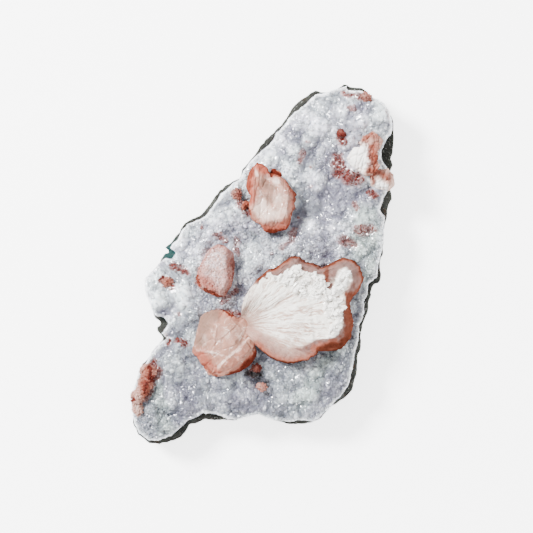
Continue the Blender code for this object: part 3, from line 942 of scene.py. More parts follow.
OUTLINE: tuple[Point, ...] = (
    (41.5, 89.5), (42.8, 87.3), (49.5, 87.3), (53.3, 85.4), (57, 83), (60.5, 81), (63.3, 78.3),
    (65, 74), (65.5, 70), (64.3, 64.9), (61.9, 62), (59.5, 56.2), (59.7, 52.4), (62.3, 49),
    (63.3, 40.9), (62.9, 37.1), (60.9, 32.8), (59.5, 27.5), (61.3, 24), (61, 12), (58.5, 1),
    (57.2, -7.2), (53.4, -10.5), (52.9, -15.3), (51, -18.6), (51, -24.4), (49, -29.7),
    (48.1, -38.3), (46.2, -46.4), (45.2, -53.1), (42.9, -61.7), (39.5, -66.5), (35.2, -70.8),
    (28.5, -77.5), (25.2, -79.4), (17, -79), (13.2, -79.4), (2.7, -78), (-2.2, -76),
    (-11.7, -78), (-17, -78), (-25.6, -75.6), (-29.9, -75.1), (-33.2, -77), (-38, -79.4),
    (-41.9, -83.3), (-45.7, -86.1), (-52.4, -88.8), (-57.2, -88.5), (-62.4, -85.2),
    (-65, -80.5), (-66, -73.7), (-66, -67.5), (-65, -61.5), (-62.9, -55), (-60, -50.7),
    (-55.3, -43.1), (-52.4, -39.7), (-49, -37.3), (-51.5, -34.7), (-50, -32.4), (-48, -29.5),
    (-50, -27), (-54, -26.6), (-55.3, -24.7), (-56.7, -20.9), (-58.8, -16.6), (-59.8, -11.3),
    (-60, -7.5), (-56.7, -4.1), (-52.4, 0.2), (-50.5, 2.4), (-48.6, 3.6), (-45.7, 3.3),
    (-44.3, 5.5), (-46.9, 8.1), (-45.7, 10.3), (-42.8, 13.1), (-40.9, 17.5), (-38, 20.3),
    (-33.2, 22.2), (-29.4, 24.2), (-25.6, 29), (-21.3, 35.7), (-15, 41), (-11.7, 42.9),
    (-10.3, 47.2), (-6, 52.9), (0.3, 58.2), (3.5, 61), (6.4, 65.8), (13.6, 74.4),
    (20.3, 80.2), (26, 85.4), (34.1, 87.3), (39.9, 89.3),
)
SWELLS = (  # x, y, reach and height of the crust's larger swells
    (41, 74.5, 6, 2), (31, 68, 9, 2), (13.5, 52, 10, 2.5), (23.5, 39.5, 9, 2), (56, 69, 10, 2),
    (41, 19.5, 10, 2), (54, 24, 8, 2), (45, 46.5, 8, 3), (-31.5, 12, 9, 2), (-56, -13, 8, 1.6),
    (-36, -18, 8, 2), (18.5, -65.5, 10, 2.5), (28.5, -58, 9, 2), (-14, -65, 8, 2),
    (-29, -60, 8, 2), (-19, 24, 8, 1.5),
)
HOLLOWS = (  # x, y, reach and depth
    (-3, -57, 4.6, 5), (28.5, 47, 9, 2.2), (20, 24, 7, 1.8), (-9, 7, 7, 2.2), (4, 7, 6, 1.6),
    (40, 33, 9, 1.8), (-15, -11.5, 3, 2.4), (-47, -26.5, 1.8, 2), (-20, -72, 7, 1.4),
)


@dataclass(frozen=True)
class Bed:
    """The gently waved surface where basalt and crust meet, and the crust's lumps over it."""

    height: float = 16.5  # level of the bed
    relief: float = 1.2  # height of its waves
    wave: float = 38.0  # length of its waves
    gap: float = 0.3  # gap between basalt and crust
    thickness: float = 7.0  # thickness of the crust
    lump: float = 11.0  # spacing of the round lumps
    lump_height: float = 2.4  # their height
    lump_reach: float = 0.72  # their radius over the spacing
    edge_drop: float = 2.6  # how far the crust falls at its edge
    edge_reach: float = 3.0  # how far from the edge the fall begins

    @property
    def top(self) -> float:
        """Level of the crust's plain top."""
        return self.height + self.gap + self.thickness

    def level(self, places: Array) -> Array:
        """Height of the bed at places."""
        waves = [noise.noise(Vector((x, y, 0)) / self.wave) for x, y in places[:, :2]]
        return self.height + self.relief * np.array(waves)

    def lumps(self, places: Array) -> Array:
        """How far up a round lump places are, 0 between lumps and 1 on top."""
        nearest = np.array([noise.voronoi(Vector((x, y, 0)) / self.lump)[0][0] for x, y in places[:, :2]])
        return 1 - np.minimum(nearest / self.lump_reach, 1) ** 2

    def crust(self, places: Array, depth: Array) -> Array:
        """Height of the crust at places.

        Args:
            places: Places on the drawing, one row each.
            depth: Their distances from the crust's edge.

        Returns:
            One height per place.
        """
        level = self.level(places) + self.gap + self.thickness + self.lump_height * self.lumps(places)
        for sign, forms in ((1, SWELLS), (-1, HOLLOWS)):
            for x, y, reach, height in forms:
                away = (places[:, 0] - x) ** 2 + (places[:, 1] - y) ** 2
                level += sign * height * np.exp(-away / reach**2)
        return level - self.edge_drop * np.exp(-depth / self.edge_reach)


BED = Bed()


def ring_normals(ring: Array, passes: int = 6) -> Array:
    """Outward unit normals of a clockwise ring, smoothed so that neighbours agree.

    Args:
        ring: The ring.
        passes: How often it is smoothed first.

    Returns:
        One normal per point.
    """
    smooth = ring.copy()
    for _ in range(passes):
        smooth = (np.roll(smooth, 1, axis=0) + 2 * smooth + np.roll(smooth, -1, axis=0)) / 4
    along = np.roll(smooth, -1, axis=0) - np.roll(smooth, 1, axis=0)
    normals = np.stack([-along[:, 1], along[:, 0]], axis=1)
    return normals / np.linalg.norm(normals, axis=1, keepdims=True)


def evenly_divided(outline: Sequence[Point], step: float) -> Array:
    """Points at even steps along a closed outline.

    Args:
        outline: Corners of the outline.
        step: Length of a step.

    Returns:
        The points.
    """
    corners = np.array(list(outline) + [outline[0]], dtype=float)
    lengths = np.linalg.norm(np.diff(corners, axis=0), axis=1)
    reached = np.concatenate([[0], np.cumsum(lengths)])
    stations = np.linspace(0, reached[-1], int(reached[-1] / step), endpoint=False)
    return np.stack([np.interp(stations, reached, corners[:, k]) for k in (0, 1)], axis=1)


def lattice_inside(ring: Array, spacing: float, clear: float,
                   uneven: float = 0.22) -> tuple[Array, Array]:
    """Uneven triangular lattice of places inside a ring.

    Args:
        ring: The ring.
        spacing: Spacing of the lattice.
        clear: Least distance from the ring.
        uneven: How far a place strays at most, over the spacing.

    Returns:
        The places and their distances from the ring.
    """
    low, high = ring.min(axis=0), ring.max(axis=0)
    rows = np.arange(low[1], high[1], spacing * math.sqrt(3) / 2)
    columns = np.arange(low[0], high[0], spacing)
    x, y = np.meshgrid(columns, rows)
    x = x + (np.arange(len(rows)) % 2)[:, None] * spacing / 2
    places = np.stack([x.ravel(), y.ravel()], axis=1)
    rng = np.random.default_rng(3)
    places += rng.uniform(-uneven, uneven, places.shape) * spacing
    # A coarser ring drops most of the places outside first, which saves time.
    places = places[inside_ring(places, ring[::4] if len(ring) > 400 else ring)]
    depth = distance_to_path(places, ring[::2], closed=True)
    kept = (depth > clear) & inside_ring(places, ring)
    return places[kept], depth[kept]


def filled(ring: Array, inner: Array) -> Array:
    """Triangles that fill a ring through inner places, numbered ring first.

    Args:
        ring: The ring.
        inner: Places inside it.

    Returns:
        Three numbers per triangle.
    """
    points = [Vector(p) for p in np.concatenate([ring, inner])]
    sides = [(i, (i + 1) % len(ring)) for i in range(len(ring))]
    flat, _, triangles, _, _, _ = delaunay_2d_cdt(points, sides, [], 1, 1e-7)
    if len(flat) != len(points):
        raise ValueError("the ring crosses itself")
    return np.array(triangles)


def crystal_tree() -> BVHTree:
    """A search tree of every CAD node that stands in the crust.

    Returns:
        The tree, in metres.
    """
    whole = bmesh.new()
    for name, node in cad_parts.items():
        if name not in ("basalt_matrix", "druzy_crust"):
            whole.from_mesh(node.data)
    tree = BVHTree.FromBMesh(whole)
    whole.free()
    return tree


def covered(places: Array, tree: BVHTree, reach: float) -> Array:
    """Whether a crystal stands over places or within reach of them.

    Args:
        places: Places on the drawing with heights.
        tree: Search tree of the crystals.
        reach: Reach in millimetres.

    Returns:
        One truth value per place.
    """
    found = []
    for x, y, z in (places + ORIGIN) * MM:
        over = tree.ray_cast(Vector((x, y, ABOVE)), Vector((0, 0, -1)))[0] is not None
        found.append(over or tree.find_nearest(Vector((x, y, z)), reach * MM)[0] is not None)
    return np.array(found)


@dataclass
class DruzyCrust:
    """The druzy chalcedony: lumpy crust, broken edge, and quartz points all over it."""

    spacing: float = 0.54  # distance between the points of its mesh
    inset: float = 0.35  # how far its edge lies inside the outline
    shoulder: float = 0.8  # how far its top stays inside its edge
    ragged: float = 0.7  # unevenness of the broken edge
    knob: float = 6.2  # spacing of the smaller lumps
    knob_height: float = 1.7  # their height
    knob_reach: float = 0.72  # their radius over the spacing
    pebble: float = 2.6  # spacing of the smallest lumps
    pebble_height: float = 0.5  # their height
    pebble_reach: float = 0.75  # their radius over the spacing
    ring: float = 0.42  # radius of the bright rings, painted highlights, over the same spacing
    highlight_ring_width: float = 0.09  # half width of a highlight ring
    grit: float = 0.07  # height of the finest relief
    side_rows: int = 12  # rows of faces on its broken side
    first_row: float = 0.07  # how far down the side its first row lies, as a share
    back_spacing: float = 4.0  # distance between the points of its underside
    back_inset: float = 1.2  # how far its underside stays inside its edge
    back_clear: float = 1.5  # how far from there its first points lie
    clearance: float = 0.5  # how far from the large crystals its quartz begins
    fine_points: Growth = Growth(Shape.POINT, spacing=1.15, smallest=1.2, largest=2.4, slender=0.2, lean=16,
                                 seed=5, mark="sown")
    coarse_points: Growth = Growth(Shape.POINT, spacing=3.4, smallest=1.4, largest=2.8, slender=0.36, lean=28,
                                   seed=6)
    prisms: Growth = Growth(Shape.PRISM, spacing=3.4, smallest=0.6, largest=1.6, slender=0.8, lean=48, seed=7,
                            mark="clusters")
    finish: Finish = QuartzFinish("quartz_druse", glow=0.85, reach=3.0, index=1.54)
    # The prisms' pale colours are partly painted glints: painted highlights on real quartz points.
    prism_finish: Finish = QuartzFinish(
        "bright_quartz_glints", glow=0.6, reach=1.5, index=1.54, hollow_and_shade=(0.3, 0.3, 0.35), body=(0.5, 0.5, 0.56),
        frost=(0.82, 0.83, 0.86), sparkle=0.3)
    # Where iron stains it; where it is lighter, partly by painted light; where it is greyer, partly by
    # painted shadow; the painted shade of its pit; its greenish patches.
    stains: Strokes = touches("""
        37,53 38,48 42,43.5 47.5,42 | 4.4 0.85 0.6; 43,43 47.5,43.5 | 2.6 1.1; 38.5,65 39.5,60.5 | 3 1;
        42,86 47,84.5 52.5,83 | 3.2 0.85; 43.5,78 45.5,77 | 2 0.7; 63,76.5 64,74 | 2.2 0.7;
        20,56 18,51 | 2.2 0.7; 45.5,30.5 47,28 | 1.8 0.7; 53.5,36 55.5,34 | 2.2 0.9;
        48,17.5 54,17 | 3.4 0.8; 39.5,12 45,9.5 | 3 0.75; 9.5,8 13.5,11 15.5,17 | 2.6 0.62;
        -50,-8 -45.5,-11 | 2.8 0.95; -45.5,-1.5 -38.5,-4 | 3 0.9; -49.5,-37 -47.5,-38.5 | 2.6 1;
        -6,25 -12,30 -14,35 | 2.6 0.8; -13,12 -13.5,8 -12.5,5 | 2.2 0.7; -22,-24 -12,-25.5 | 2.4 0.8;
        -5,-54 -2,-52 | 3 0.9; -28.5,-13 -33,-9 | 2 0.8; -13.5,-13 -20,-18.5 | 2.4 0.7;
        -24,15 -19,12 | 2 0.8; -43,-38 -38.5,-40 | 1.9 0.9;
        -55.5,-48.5 -51.8,-54 -55.5,-61 -58.5,-67 | 2.2 0.8 0.8; 22,61 | 1.2 0.8; 24,48.5 | 1.1 0.8;
        17.8,23.3 | 1.3 0.8; 4.5,5 | 1.2 0.8; -21,15.5 | 1.3 0.8; -30.5,18 | 1.2 0.8; -42,-25 | 1.5 0.8;
        -41,-39 | 1.4 0.8; 24,38.8 | 1.2 0.8""")
    # Lighter patches: frosty quartz, and painted light at 22,-53 and 34,-47 that lifts the fan's shadow.
    haze_and_painted_light: Strokes = touches("""
        26,71 | 8; 38.5,77 | 6; 57.5,76 | 6; 11,62 | 6; -34,12 | 8; -46.5,-13 | 10; -41.5,1 | 6;
        -5.5,7 | 6; 18.5,-65.5 | 7; -39,-40.5 | 6; -31.5,24.5 | 5; 51,24.5 | 5; 48.5,7 | 6; 14,49 | 5;
        33,62 | 4; -56,-20 | 5; -25,-66 | 5; 30,-57 | 4.5; 54,62 | 4; 5,56 | 4; 39.7,75 | 4;
        33.5,67 | 3; 22.5,45.5 | 4; 16,56 | 4; 28.5,55.5 | 3; -50,-10 | 7; -42,-20 | 7; -34,-26 | 5;
        -31,-13 | 3; 29,78 | 6; 30,66 | 5; 22,-53 | 7; -47,-28 | 4; -35,-18 | 5; 1.5,17 | 4; -40,10 | 5;
        34,-47 | 5; 24,20 | 4""")
    # Greyer, clear patches; the touches through 17.5,44 and -12.5,7 are painted shadows right of the upper
    # crystal and the left tablet, and the last is painted shade in the lobe's shadow.
    clear: Strokes = touches("""
        22,38 24,28 | 7 0.7; 48,40 54,34 | 5 1.1; 40,12 46,4 | 4; 34,34 38,24 | 4; 48,80 54,77 | 4;
        38,40 45,34 | 7; 20,10 30,8 | 7; 36,-46 40,-56 | 7; -16,-71 6,-73 | 6; -19,14 | 4;
        -34,-63 -40,-70 | 6; 33,56 30,47 | 4; 8,68 16,64 | 4.5 1.2; 15,52 23,52 | 3.5;
        36,38 52,36 | 4.5; 17.5,44 19,30 16.5,20 | 3.4 1.3; -12.5,7 -11.5,-4 -12,-13 | 2.8 1.3;
        44,4 51,2 | 3.2; -42,-40 -36,-48 | 4; -60,-78 -52,-84 | 5; -8,-54 0,-58 1,-64 | 4.4 1.2""")
    # Painted shade in the pit, and in the lobe's shadow at its lower right.
    pit_shade: Strokes = touches("""
        -7.6,-54.4 -2,-55.8 | 2.2 1 0.6; -2.2,-57.4 1.4,-60 1.6,-65 | 2.5 0.85 0.8;
        -4.5,-47.5 -2.5,-51 | 1.4 0.7 0.8""")
    green: Strokes = touches("""
        -54,-62 -51,-70 -50,-82 | 6; 50,26 48,4 | 7; 55,25 53,-10 | 4; 35,-45 20,-68 | 6""")

    def heights(self, places: Array, depth: Array) -> tuple[Array, Array]:
        """Height and frostiness of the crust's top at places; the frostiness also holds painted shade in the
        hollows, painted highlight rings, and painted light and shadow patches.

        Args:
            places: Places on the drawing, one row each.
            depth: Their distances from the crust's edge.

        Returns:
            The heights and the frostiness, which carries the painted light and shade too.
        """
        large = BED.lumps(places)
        near, _, owner = cells_near(places[:, :2], self.knob, 21)
        knob = np.clip(1 - (near / self.knob_reach) ** 2, 0, 1)
        small, _, small_owner = cells_near(places[:, :2], self.pebble, 33)
        pebble = np.clip(1 - (small / self.pebble_reach) ** 2, 0, 1)
        level = BED.crust(places, depth)
        level += self.knob_height * (knob - 0.45) * (0.6 + 0.8 * owner)
        level += self.pebble_height * (pebble - 0.45)
        level += self.grit * rough_noise(places[:, :2], 1.1, 2, 8)
        drift = rough_noise(places[:, :2], 18, 3, 61)
        cap = ease(knob, 0.1, 0.9) * (0.2 + 0.8 * owner)
        # Bright rings round the small lumps are painted highlights.
        ring = np.exp(-(((small - self.ring) / self.highlight_ring_width) ** 2)) * (small_owner > 0.6)
        frost = 0.04 + 0.38 * ease(large, 0.05, 0.95) + 0.38 * cap + 0.08 * pebble + 0.18 * drift + 0.4 * ring
        # Haze touches raise it and clear touches lower it; some of them are painted light and painted shadow.
        frost += 0.36 * painted(places, self.haze_and_painted_light) - 0.36 * painted(places, self.clear)
        # Lighter towards the top of the drawing.
        frost += 0.32 * ease(places[:, 1], -50, 50) - 0.1
        frost += 0.2 * self.calmness(places) * (ease(large, 0.2, 0.8) - 0.5)
        return level, frost

    @staticmethod
    def calmness(places: Array) -> Array:
        """Where the crust is smooth and domed, not rough: 0 to 1 at places."""
        left = ease(places[:, 0], -25, -42) * ease(places[:, 1], -50, -30)
        return np.maximum(ease(places[:, 1], -5, 35), left)

    def build(self) -> bpy.types.Object:
        """The crust: its fine top, its broken side and its underside.

        Returns:
            The crust with its marks.
        """
        outline = evenly_divided(OUTLINE, self.spacing)
        out = ring_normals(outline)
        wander = rough_noise(outline, 4.5, 4, 12) * self.ragged - self.inset
        ring = outline + out * wander[:, None]
        shoulder = ring - out * self.shoulder
        inner, depth = lattice_inside(shoulder, self.spacing, self.spacing * 0.5)
        triangles = filled(shoulder, inner)
        top = np.concatenate([shoulder, inner])
        depth = np.concatenate([np.zeros(len(ring)), depth])
        level, frost = self.heights(top, depth)
        steps = np.linspace(self.first_row, 1, self.side_rows)
        sides = [self._side(ring, out, level[:len(ring)], fall) for fall in steps]
        below, _ = lattice_inside(ring - out * self.back_inset, self.back_spacing, self.back_clear)
        back = np.column_stack([below, BED.level(below) + BED.gap])
        faces = self._faces(triangles, len(top), len(ring), len(steps), sides[-1][:, :2], below)
        places = np.concatenate([np.column_stack([top, level]), *sides, back])
        whole = len(places)
        edge = ease(depth, 1.3, 0.2) * (0.35 + 0.65 * (rough_noise(top, 6, 2, 90) > -0.1))
        shown = extended(np.ones(len(top)), whole)
        grow = extended(~covered(places[:len(top)], crystal_tree(), self.clearance), whole)
        clusters = ease(rough_noise(places[:, :2], 13, 3, 92), 0.0, 0.4)
        calm = self.calmness(places) * ease(rough_noise(places[:, :2], 16, 2, 95), -0.7, 0.1)
        # The frost mark carries the painted shade, highlights, light and shadow of the heights too.
        marks = {
            "frost": np.concatenate([frost, self._layers(places[len(top):], steps, len(ring))]),
            "stain": painted(places, self.stains) * shown,
            "green": painted(places, self.green) * shown,
            "pit_shade": painted(places, self.pit_shade) * shown,
            "edge": extended(edge, whole), "grow": grow, "clusters": grow * clusters, "calm": calm,
            "sown": grow * (1 - 0.75 * calm), "shade": np.full(whole, 0.35),
        }
        crust = mesh_object("druzy_crust_top", places, faces, marks)
        return self.finish.dress(crust)

    @staticmethod
    def _side(ring: Array, out: Array, level: Array, fall: float) -> Array:
        """One row of the broken side.

        Args:
            ring: The crust's edge.
            out: Its outward normals.
            level: Heights of the top's border.
            fall: How far down the row lies, from 0 to 1.

        Returns:
            Places of the row.
        """
        bite = 0.6 * (1 - fall) ** 3 + 0.45 * fall**6
        bite += 0.2 * smooth_noise(np.array([[fall * 9.0, 0.0]]), 1, 75)[0]
        bite = bite + 0.3 * rough_noise(np.column_stack([ring, np.full(len(ring), fall * 8)]), 2.2, 3, 70)
        foot = BED.level(ring) + BED.gap
        return np.column_stack([ring - out * bite[:, None], level + (foot - level) * fall])

    @staticmethod
    def _layers(places: Array, steps: Array, count: int) -> Array:
        """Frostiness of the side rows: a white skin on top, and thin layers below it.

        Args:
            places: Places of the side rows and the underside.
            steps: How far down each row lies.
            count: Number of points in a row.

        Returns:
            One value per place.
        """
        fall = np.concatenate([np.repeat(steps, count), np.ones(len(places) - len(steps) * count)])
        wave = fall * 7 + 0.6 * rough_noise(places[:, :2], 14, 2, 77)
        layer = 0.5 + 0.5 * np.sin(wave * 2.6) + 0.3 * rough_noise(places * (1, 1, 3), 3, 3, 78)
        return np.clip(0.25 + 0.5 * layer, 0, 1) + ease(fall, 0.3, 0.05) * 0.6

    @staticmethod
    def _faces(top: Array, top_count: int, count: int, steps: int, last: Array, below: Array) -> list:
        """Faces of the top, the side rows and the underside, all turned outwards.

        Args:
            top: Triangles of the top.
            top_count: Number of its points.
            count: Number of points in a side row.
            steps: Number of side rows.
            last: Places of the last row.
            below: Places of the underside within it.

        Returns:
            Corner numbers of each face.
        """
        faces = [tuple(t) for t in top]
        rows = [np.arange(count)] + [top_count + k * count + np.arange(count) for k in range(steps)]
        for upper, lower in zip(rows, rows[1:]):
            after_upper, after_lower = np.roll(upper, -1), np.roll(lower, -1)
            faces += list(zip(upper.tolist(), after_upper.tolist(), after_lower.tolist(), lower.tolist()))
        under = filled(last, below)
        names = np.concatenate([rows[-1], top_count + steps * count + np.arange(len(below))])
        faces += [tuple(names[t][::-1].tolist()) for t in under]
        return faces

    def dressed(self) -> None:
        """Build the crust and grow its quartz."""
        crust = self.build()
        growths = {
            "quartz_points_fine": (self.fine_points, self.finish),
            "quartz_points_coarse": (self.coarse_points, self.finish),
            "quartz_prisms": (self.prisms, self.prism_finish),
        }
        pieces = [growth.grown(name, crust, finish) for name, (growth, finish) in growths.items()]
        for piece in [crust, *pieces]:
            rides(piece, "chalcedony", "druzy_crust")


# ---------------------------------------------------------------- rock and crystals

@dataclass
class BasaltPlate:
    """The basalt under the crust, with its broken side and flat back."""

    voxel: float = 1.05  # size of its faces
    roughness: float = 1.3  # height of its relief
    wave: float = 6.5  # length of its waves
    block: float = 3.2  # size of a broken block
    block_height: float = 0.5  # height of one block over the next, as a share of the relief
    ledge_height: float = 0.7  # height of its ledges
    flat: float = 0.4  # how high above the back the relief begins
    lift: float = 0.05  # least height of its side above the back
    lining: Point = (9, 4)  # depths below the bed between which the green lining fades
    finish: Finish = BasaltFinish("basalt_rock", roughness=0.85, shine=0.05)
    # Ledges of its side, and the green lining.
    ledges: Strokes = touches("""
        -40,19 -27,27 -12,44 2,60 12,73 26,86 | 3.2 0.95 0.3; 42,90 51,87 | 3 0.9 0.2;
        61,30 62,22 60,5 58,-8 | 2.5 0.8 0.4; 52,-16 50,-34 45,-56 38,-68 28,-78 | 2.8 0.9 0.4;
        26,-80 5,-79 | 2.5 0.6; -14,-78.5 -30,-76 -45,-87 -58,-90 | 3 0.8 0.3""")
    teal: Strokes = touches("-50,7 -46,5 -45,8 | 4.5 1; -48,-26 | 3 0.7")

    def dressed(self) -> None:
        """Build the plate and give it its finish."""
        plate = remeshed("basalt_plate", copy_of_node("basalt_matrix"), self.voxel)
        places, normals = read_points(plate)
        side = ease(places[:, 2], self.flat, 3.0)
        rise = 0.7 * rough_noise(places, self.wave, 4, 41)
        rise += painted(places, self.ledges) * self.ledge_height * ease(places[:, 2], 6, 13) / self.roughness
        near, second, owner = cells_near(places, self.block, 42)
        rise += self.block_height * (owner - 0.5) * ease(second - near, 0.02, 0.2)
        places += normals * (rise * side * self.roughness)[:, None]
        places[:, 2] = np.maximum(places[:, 2], np.where(side > 0, self.lift, 0))
        write_points(plate, places)
        depth = BED.height - places[:, 2] + 2.5 * rough_noise(places, 4, 3, 43)
        write_mark(plate, "teal", painted(places, self.teal) * ease(depth, *self.lining))
        rides(self.finish.dress(plate), "basalt", "basalt_matrix")


def rim_distance(places: Array, normals: Array, reach: float = 2.5) -> Array:
    """Distance across the drawing from each point of a crystal to its foot's outline.

    Args:
        places: Places of its points.
        normals: Their unit normals.
        reach: How far above the crust's plain top the foot ends.

    Returns:
        One distance per point.
    """
    foot = np.flatnonzero((np.abs(normals[:, 2]) < 0.5) & (places[:, 2] < BED.top + reach))
    tree = KDTree(len(foot))
    for number in foot:
        tree.insert((places[number, 0], places[number, 1], 0), int(number))
    tree.balance()
    return np.array([tree.find((x, y, 0))[2] for x, y in places[:, :2].tolist()])


@dataclass(frozen=True)
class Ridge:
    """A raised band across a crystal, or a groove."""

    path: tuple[Point, ...]  # its crest on the drawing
    width: float  # half width
    height: float  # height, negative for a groove
    flat: float = 0.0  # share of the width that is flat


@dataclass
class StoneCrystal:
    """A crystal grown from a CAD solid: even mesh, stepped and striated faces, and its stains."""

    node: str  # CAD node that it replaces
    name: str  # name of the piece
    slot: str = "salmon"  # material slot
    voxel: float = 0.36  # size of its faces
    grain: float = 90.0  # direction of its striations, in degrees from +X
    steps: float = 0.45  # height of the growth steps
    lines: float = 0.14  # depth of the striations
    mosaic: float = 0.3  # depth of the grooves between its sub-crystals
    block: float = 3.2  # size of a sub-crystal
    block_height: float = 0.35  # height of one sub-crystal over the next
    side_iron: float = 0.0  # how strongly its steep sides are stained
    base_iron: float = 0.0  # how strongly it is stained all over
    rim_iron: float = 0.3  # how strongly its rim is stained
    rim_blush: float = 0.6  # how strongly it is flushed inside the rim
    rim_reach: float = 4.5  # how far the flush reaches inwards
    smoke: Strokes = ()  # dull, glassy touches
    iron: Strokes = ()  # red-brown touches
    blush: Strokes = ()  # orange-pink touches
    pale: Strokes = ()  # white touches
    ridges: tuple[Ridge, ...] = ()  # raised bands and grooves
    sprout: Growth | None = None  # small crystals grown on it, if any
    finish: Finish = CrystalFinish("salmon_crystal", glow=0.3, reach=2.0, shine=0.0, gloss=0.6,
                                   coat_roughness=0.13)

    def solid(self) -> bmesh.types.BMesh:
        """The solid that the crystal is grown from."""
        return copy_of_node(self.node)

    def relief(self, places: Array) -> tuple[Array, Array]:
        """Relief along the normals, and the streaks that go with it.

        Args:
            places: Places on the drawing, one row each.

        Returns:
            The heights and the streaks.
        """
        turn = math.radians(self.grain)
        along = np.array([math.cos(turn), math.sin(turn), 0.0])
        across = np.array([-math.sin(turn), math.cos(turn), 0.0])
        stretched = np.column_stack([places @ along / 9, places @ across, places[:, 2] * 0.7])
        streak = 0.6 * smooth_noise(stretched, 0.9, 51) + 0.4 * smooth_noise(stretched, 0.42, 52)
        swell = rough_noise(places * (1, 1, 1.4), 8, 3, 53) * 5
        step = (np.floor(swell) + ease(swell - np.floor(swell), 0.0, 0.3)) / 5
        near, second, owner = cells_near(np.column_stack([stretched[:, 0] * 3.2, stretched[:, 1:]]),
                                         self.block, 54)
        groove = ease(second - near, 0.0, 0.16)
        rise = self.steps * step + self.lines * streak + self.mosaic * (groove - 1)
        return rise + self.block_height * (owner - 0.5), streak * 0.5 + 0.5

    def build(self) -> bpy.types.Object:
        """The crystal's mesh with its marks.

        Returns:
            The crystal.
        """
        made = remeshed(self.name, self.solid(), self.voxel)
        places, normals = read_points(made)
        rise, streak = self.relief(places)
        for ridge in self.ridges:
            away = distance_to_path(places, ridge.path) / ridge.width
            rise += ridge.height * np.clip((1 - away) / (1 - ridge.flat), 0, 1) * np.clip(normals[:, 2], 0, 1)
        write_points(made, places + normals * rise[:, None])
        steep = ease(normals[:, 2], 0.75, 0.15)
        drift = rough_noise(places, 3.5, 3, 57)
        rim = rim_distance(places, normals) + 1.2 * drift
        iron = np.maximum(painted(places, self.iron), self.side_iron * steep * (0.75 + 0.6 * drift))
        iron = np.maximum(iron, self.rim_iron * ease(rim, 0.4 * self.rim_reach, 0.2) * (0.9 + drift))
        iron = np.maximum(iron, self.base_iron * (0.8 + 0.5 * drift))
        flush = np.maximum(self.rim_blush * ease(rim, self.rim_reach, 0.5), self.side_iron * steep)
        smoke, blush, pale = (painted(places, kind, True) for kind in (self.smoke, self.blush, self.pale))
        grow = ease(places[:, 2], BED.top - 0.5, BED.top + 0.5)
        marks = {"iron": iron, "blush": np.maximum(blush, flush), "smoke": smoke, "frost": 0.3 + 0.4 * streak,
                 "pale": pale, "streak": streak, "grow": grow, "crown": grow * ease(normals[:, 2], 0.3, 0.7)}
        for mark, values in marks.items():
            write_mark(made, mark, values)
        return self.finish.dress(made)

    def dressed(self) -> None:
        """Build the crystal and what grows on it."""
        made = self.build()
        pieces = [made]
        if self.sprout:
            pieces.append(self.sprout.grown(f"{self.name}_points", made, self.finish))
        for piece in pieces:
            rides(piece, self.slot, self.node)


@dataclass(frozen=True)
class Facet:
    """A flat crystal face."""

    x: float  # a point of the plane
    y: float
    z: float
    azimuth: float  # direction that the face looks in, in degrees from +X
    tilt: float  # its lean from the level, in degrees

    @property
    def normal(self) -> Vector:
        """Outward unit normal of the face."""
        turn, lean = math.radians(self.azimuth), math.radians(self.tilt)
        return Vector((math.sin(lean) * math.cos(turn), math.sin(lean) * math.sin(turn), math.cos(lean)))


@dataclass
class SheafLobe(StoneCrystal):
    """The blocky lobe behind the fan, cut from an upright block by its faces."""

    outline: tuple[Point, ...] = (  # outline of the block
        (-35, -41.1), (-35.2, -44), (-31.7, -47.8), (-30, -50.5), (-27.1, -55.4), (-23, -56.2),
        (-17.3, -55.4), (-11.9, -53.8), (-7, -50.5), (-3.5, -45.9), (-3, -43.8), (-4.3, -38.6),
        (-5, -34.5), (-4.5, -30), (-9, -26.8), (-12.8, -26.8), (-14.6, -25.3), (-17.3, -23.4),
        (-20, -22.9), (-25.5, -23.2), (-29.2, -24.5), (-31.2, -26.2), (-33, -32.9),
    )
    facets: tuple[Facet, ...] = (  # faces that it is cut by
        Facet(-17, -37, 36.5, 250, 7), Facet(-26, -33, 35.6, 185, 40), Facet(-26, -45, 34.4, 212, 44),
        Facet(-19, -51, 34.2, 264, 42), Facet(-9.5, -47, 33.8, 312, 44), Facet(-20.5, -27, 35, 98, 42),
        Facet(-13, -36, 35.4, 20, 30), Facet(-27, -29, 34, 140, 48), Facet(-24, -42, 35.9, 205, 16),
    )
    foot: float = SHEAF_FOOT  # level of its root
    height: float = 30.0  # height of the block before it is cut

    def solid(self) -> bmesh.types.BMesh:
        """The block, cut by every facet.

        Returns:
            The block, in metres.
        """
        bm = bmesh.new()
        low = [(Vector((x, y, self.foot)) + Vector(ORIGIN)) * MM for x, y in self.outline]
        base = bm.faces.new([bm.verts.new(p) for p in low])
        made = bmesh.ops.extrude_face_region(bm, geom=[base])["geom"]
        raised = [item for item in made if isinstance(item, bmesh.types.BMVert)]
        bmesh.ops.translate(bm, verts=raised, vec=(0, 0, self.height * MM))
        for facet in self.facets:
            whole = bm.verts[:] + bm.edges[:] + bm.faces[:]
            point = (Vector((facet.x, facet.y, facet.z)) + Vector(ORIGIN)) * MM
            cut = bmesh.ops.bisect_plane(bm, geom=whole, plane_co=point, plane_no=facet.normal,
                                         clear_outer=True)["geom_cut"]
            bmesh.ops.holes_fill(bm, edges=[e for e in cut if isinstance(e, bmesh.types.BMEdge)], sides=0)
        bmesh.ops.recalc_face_normals(bm, faces=bm.faces[:])
        return bm


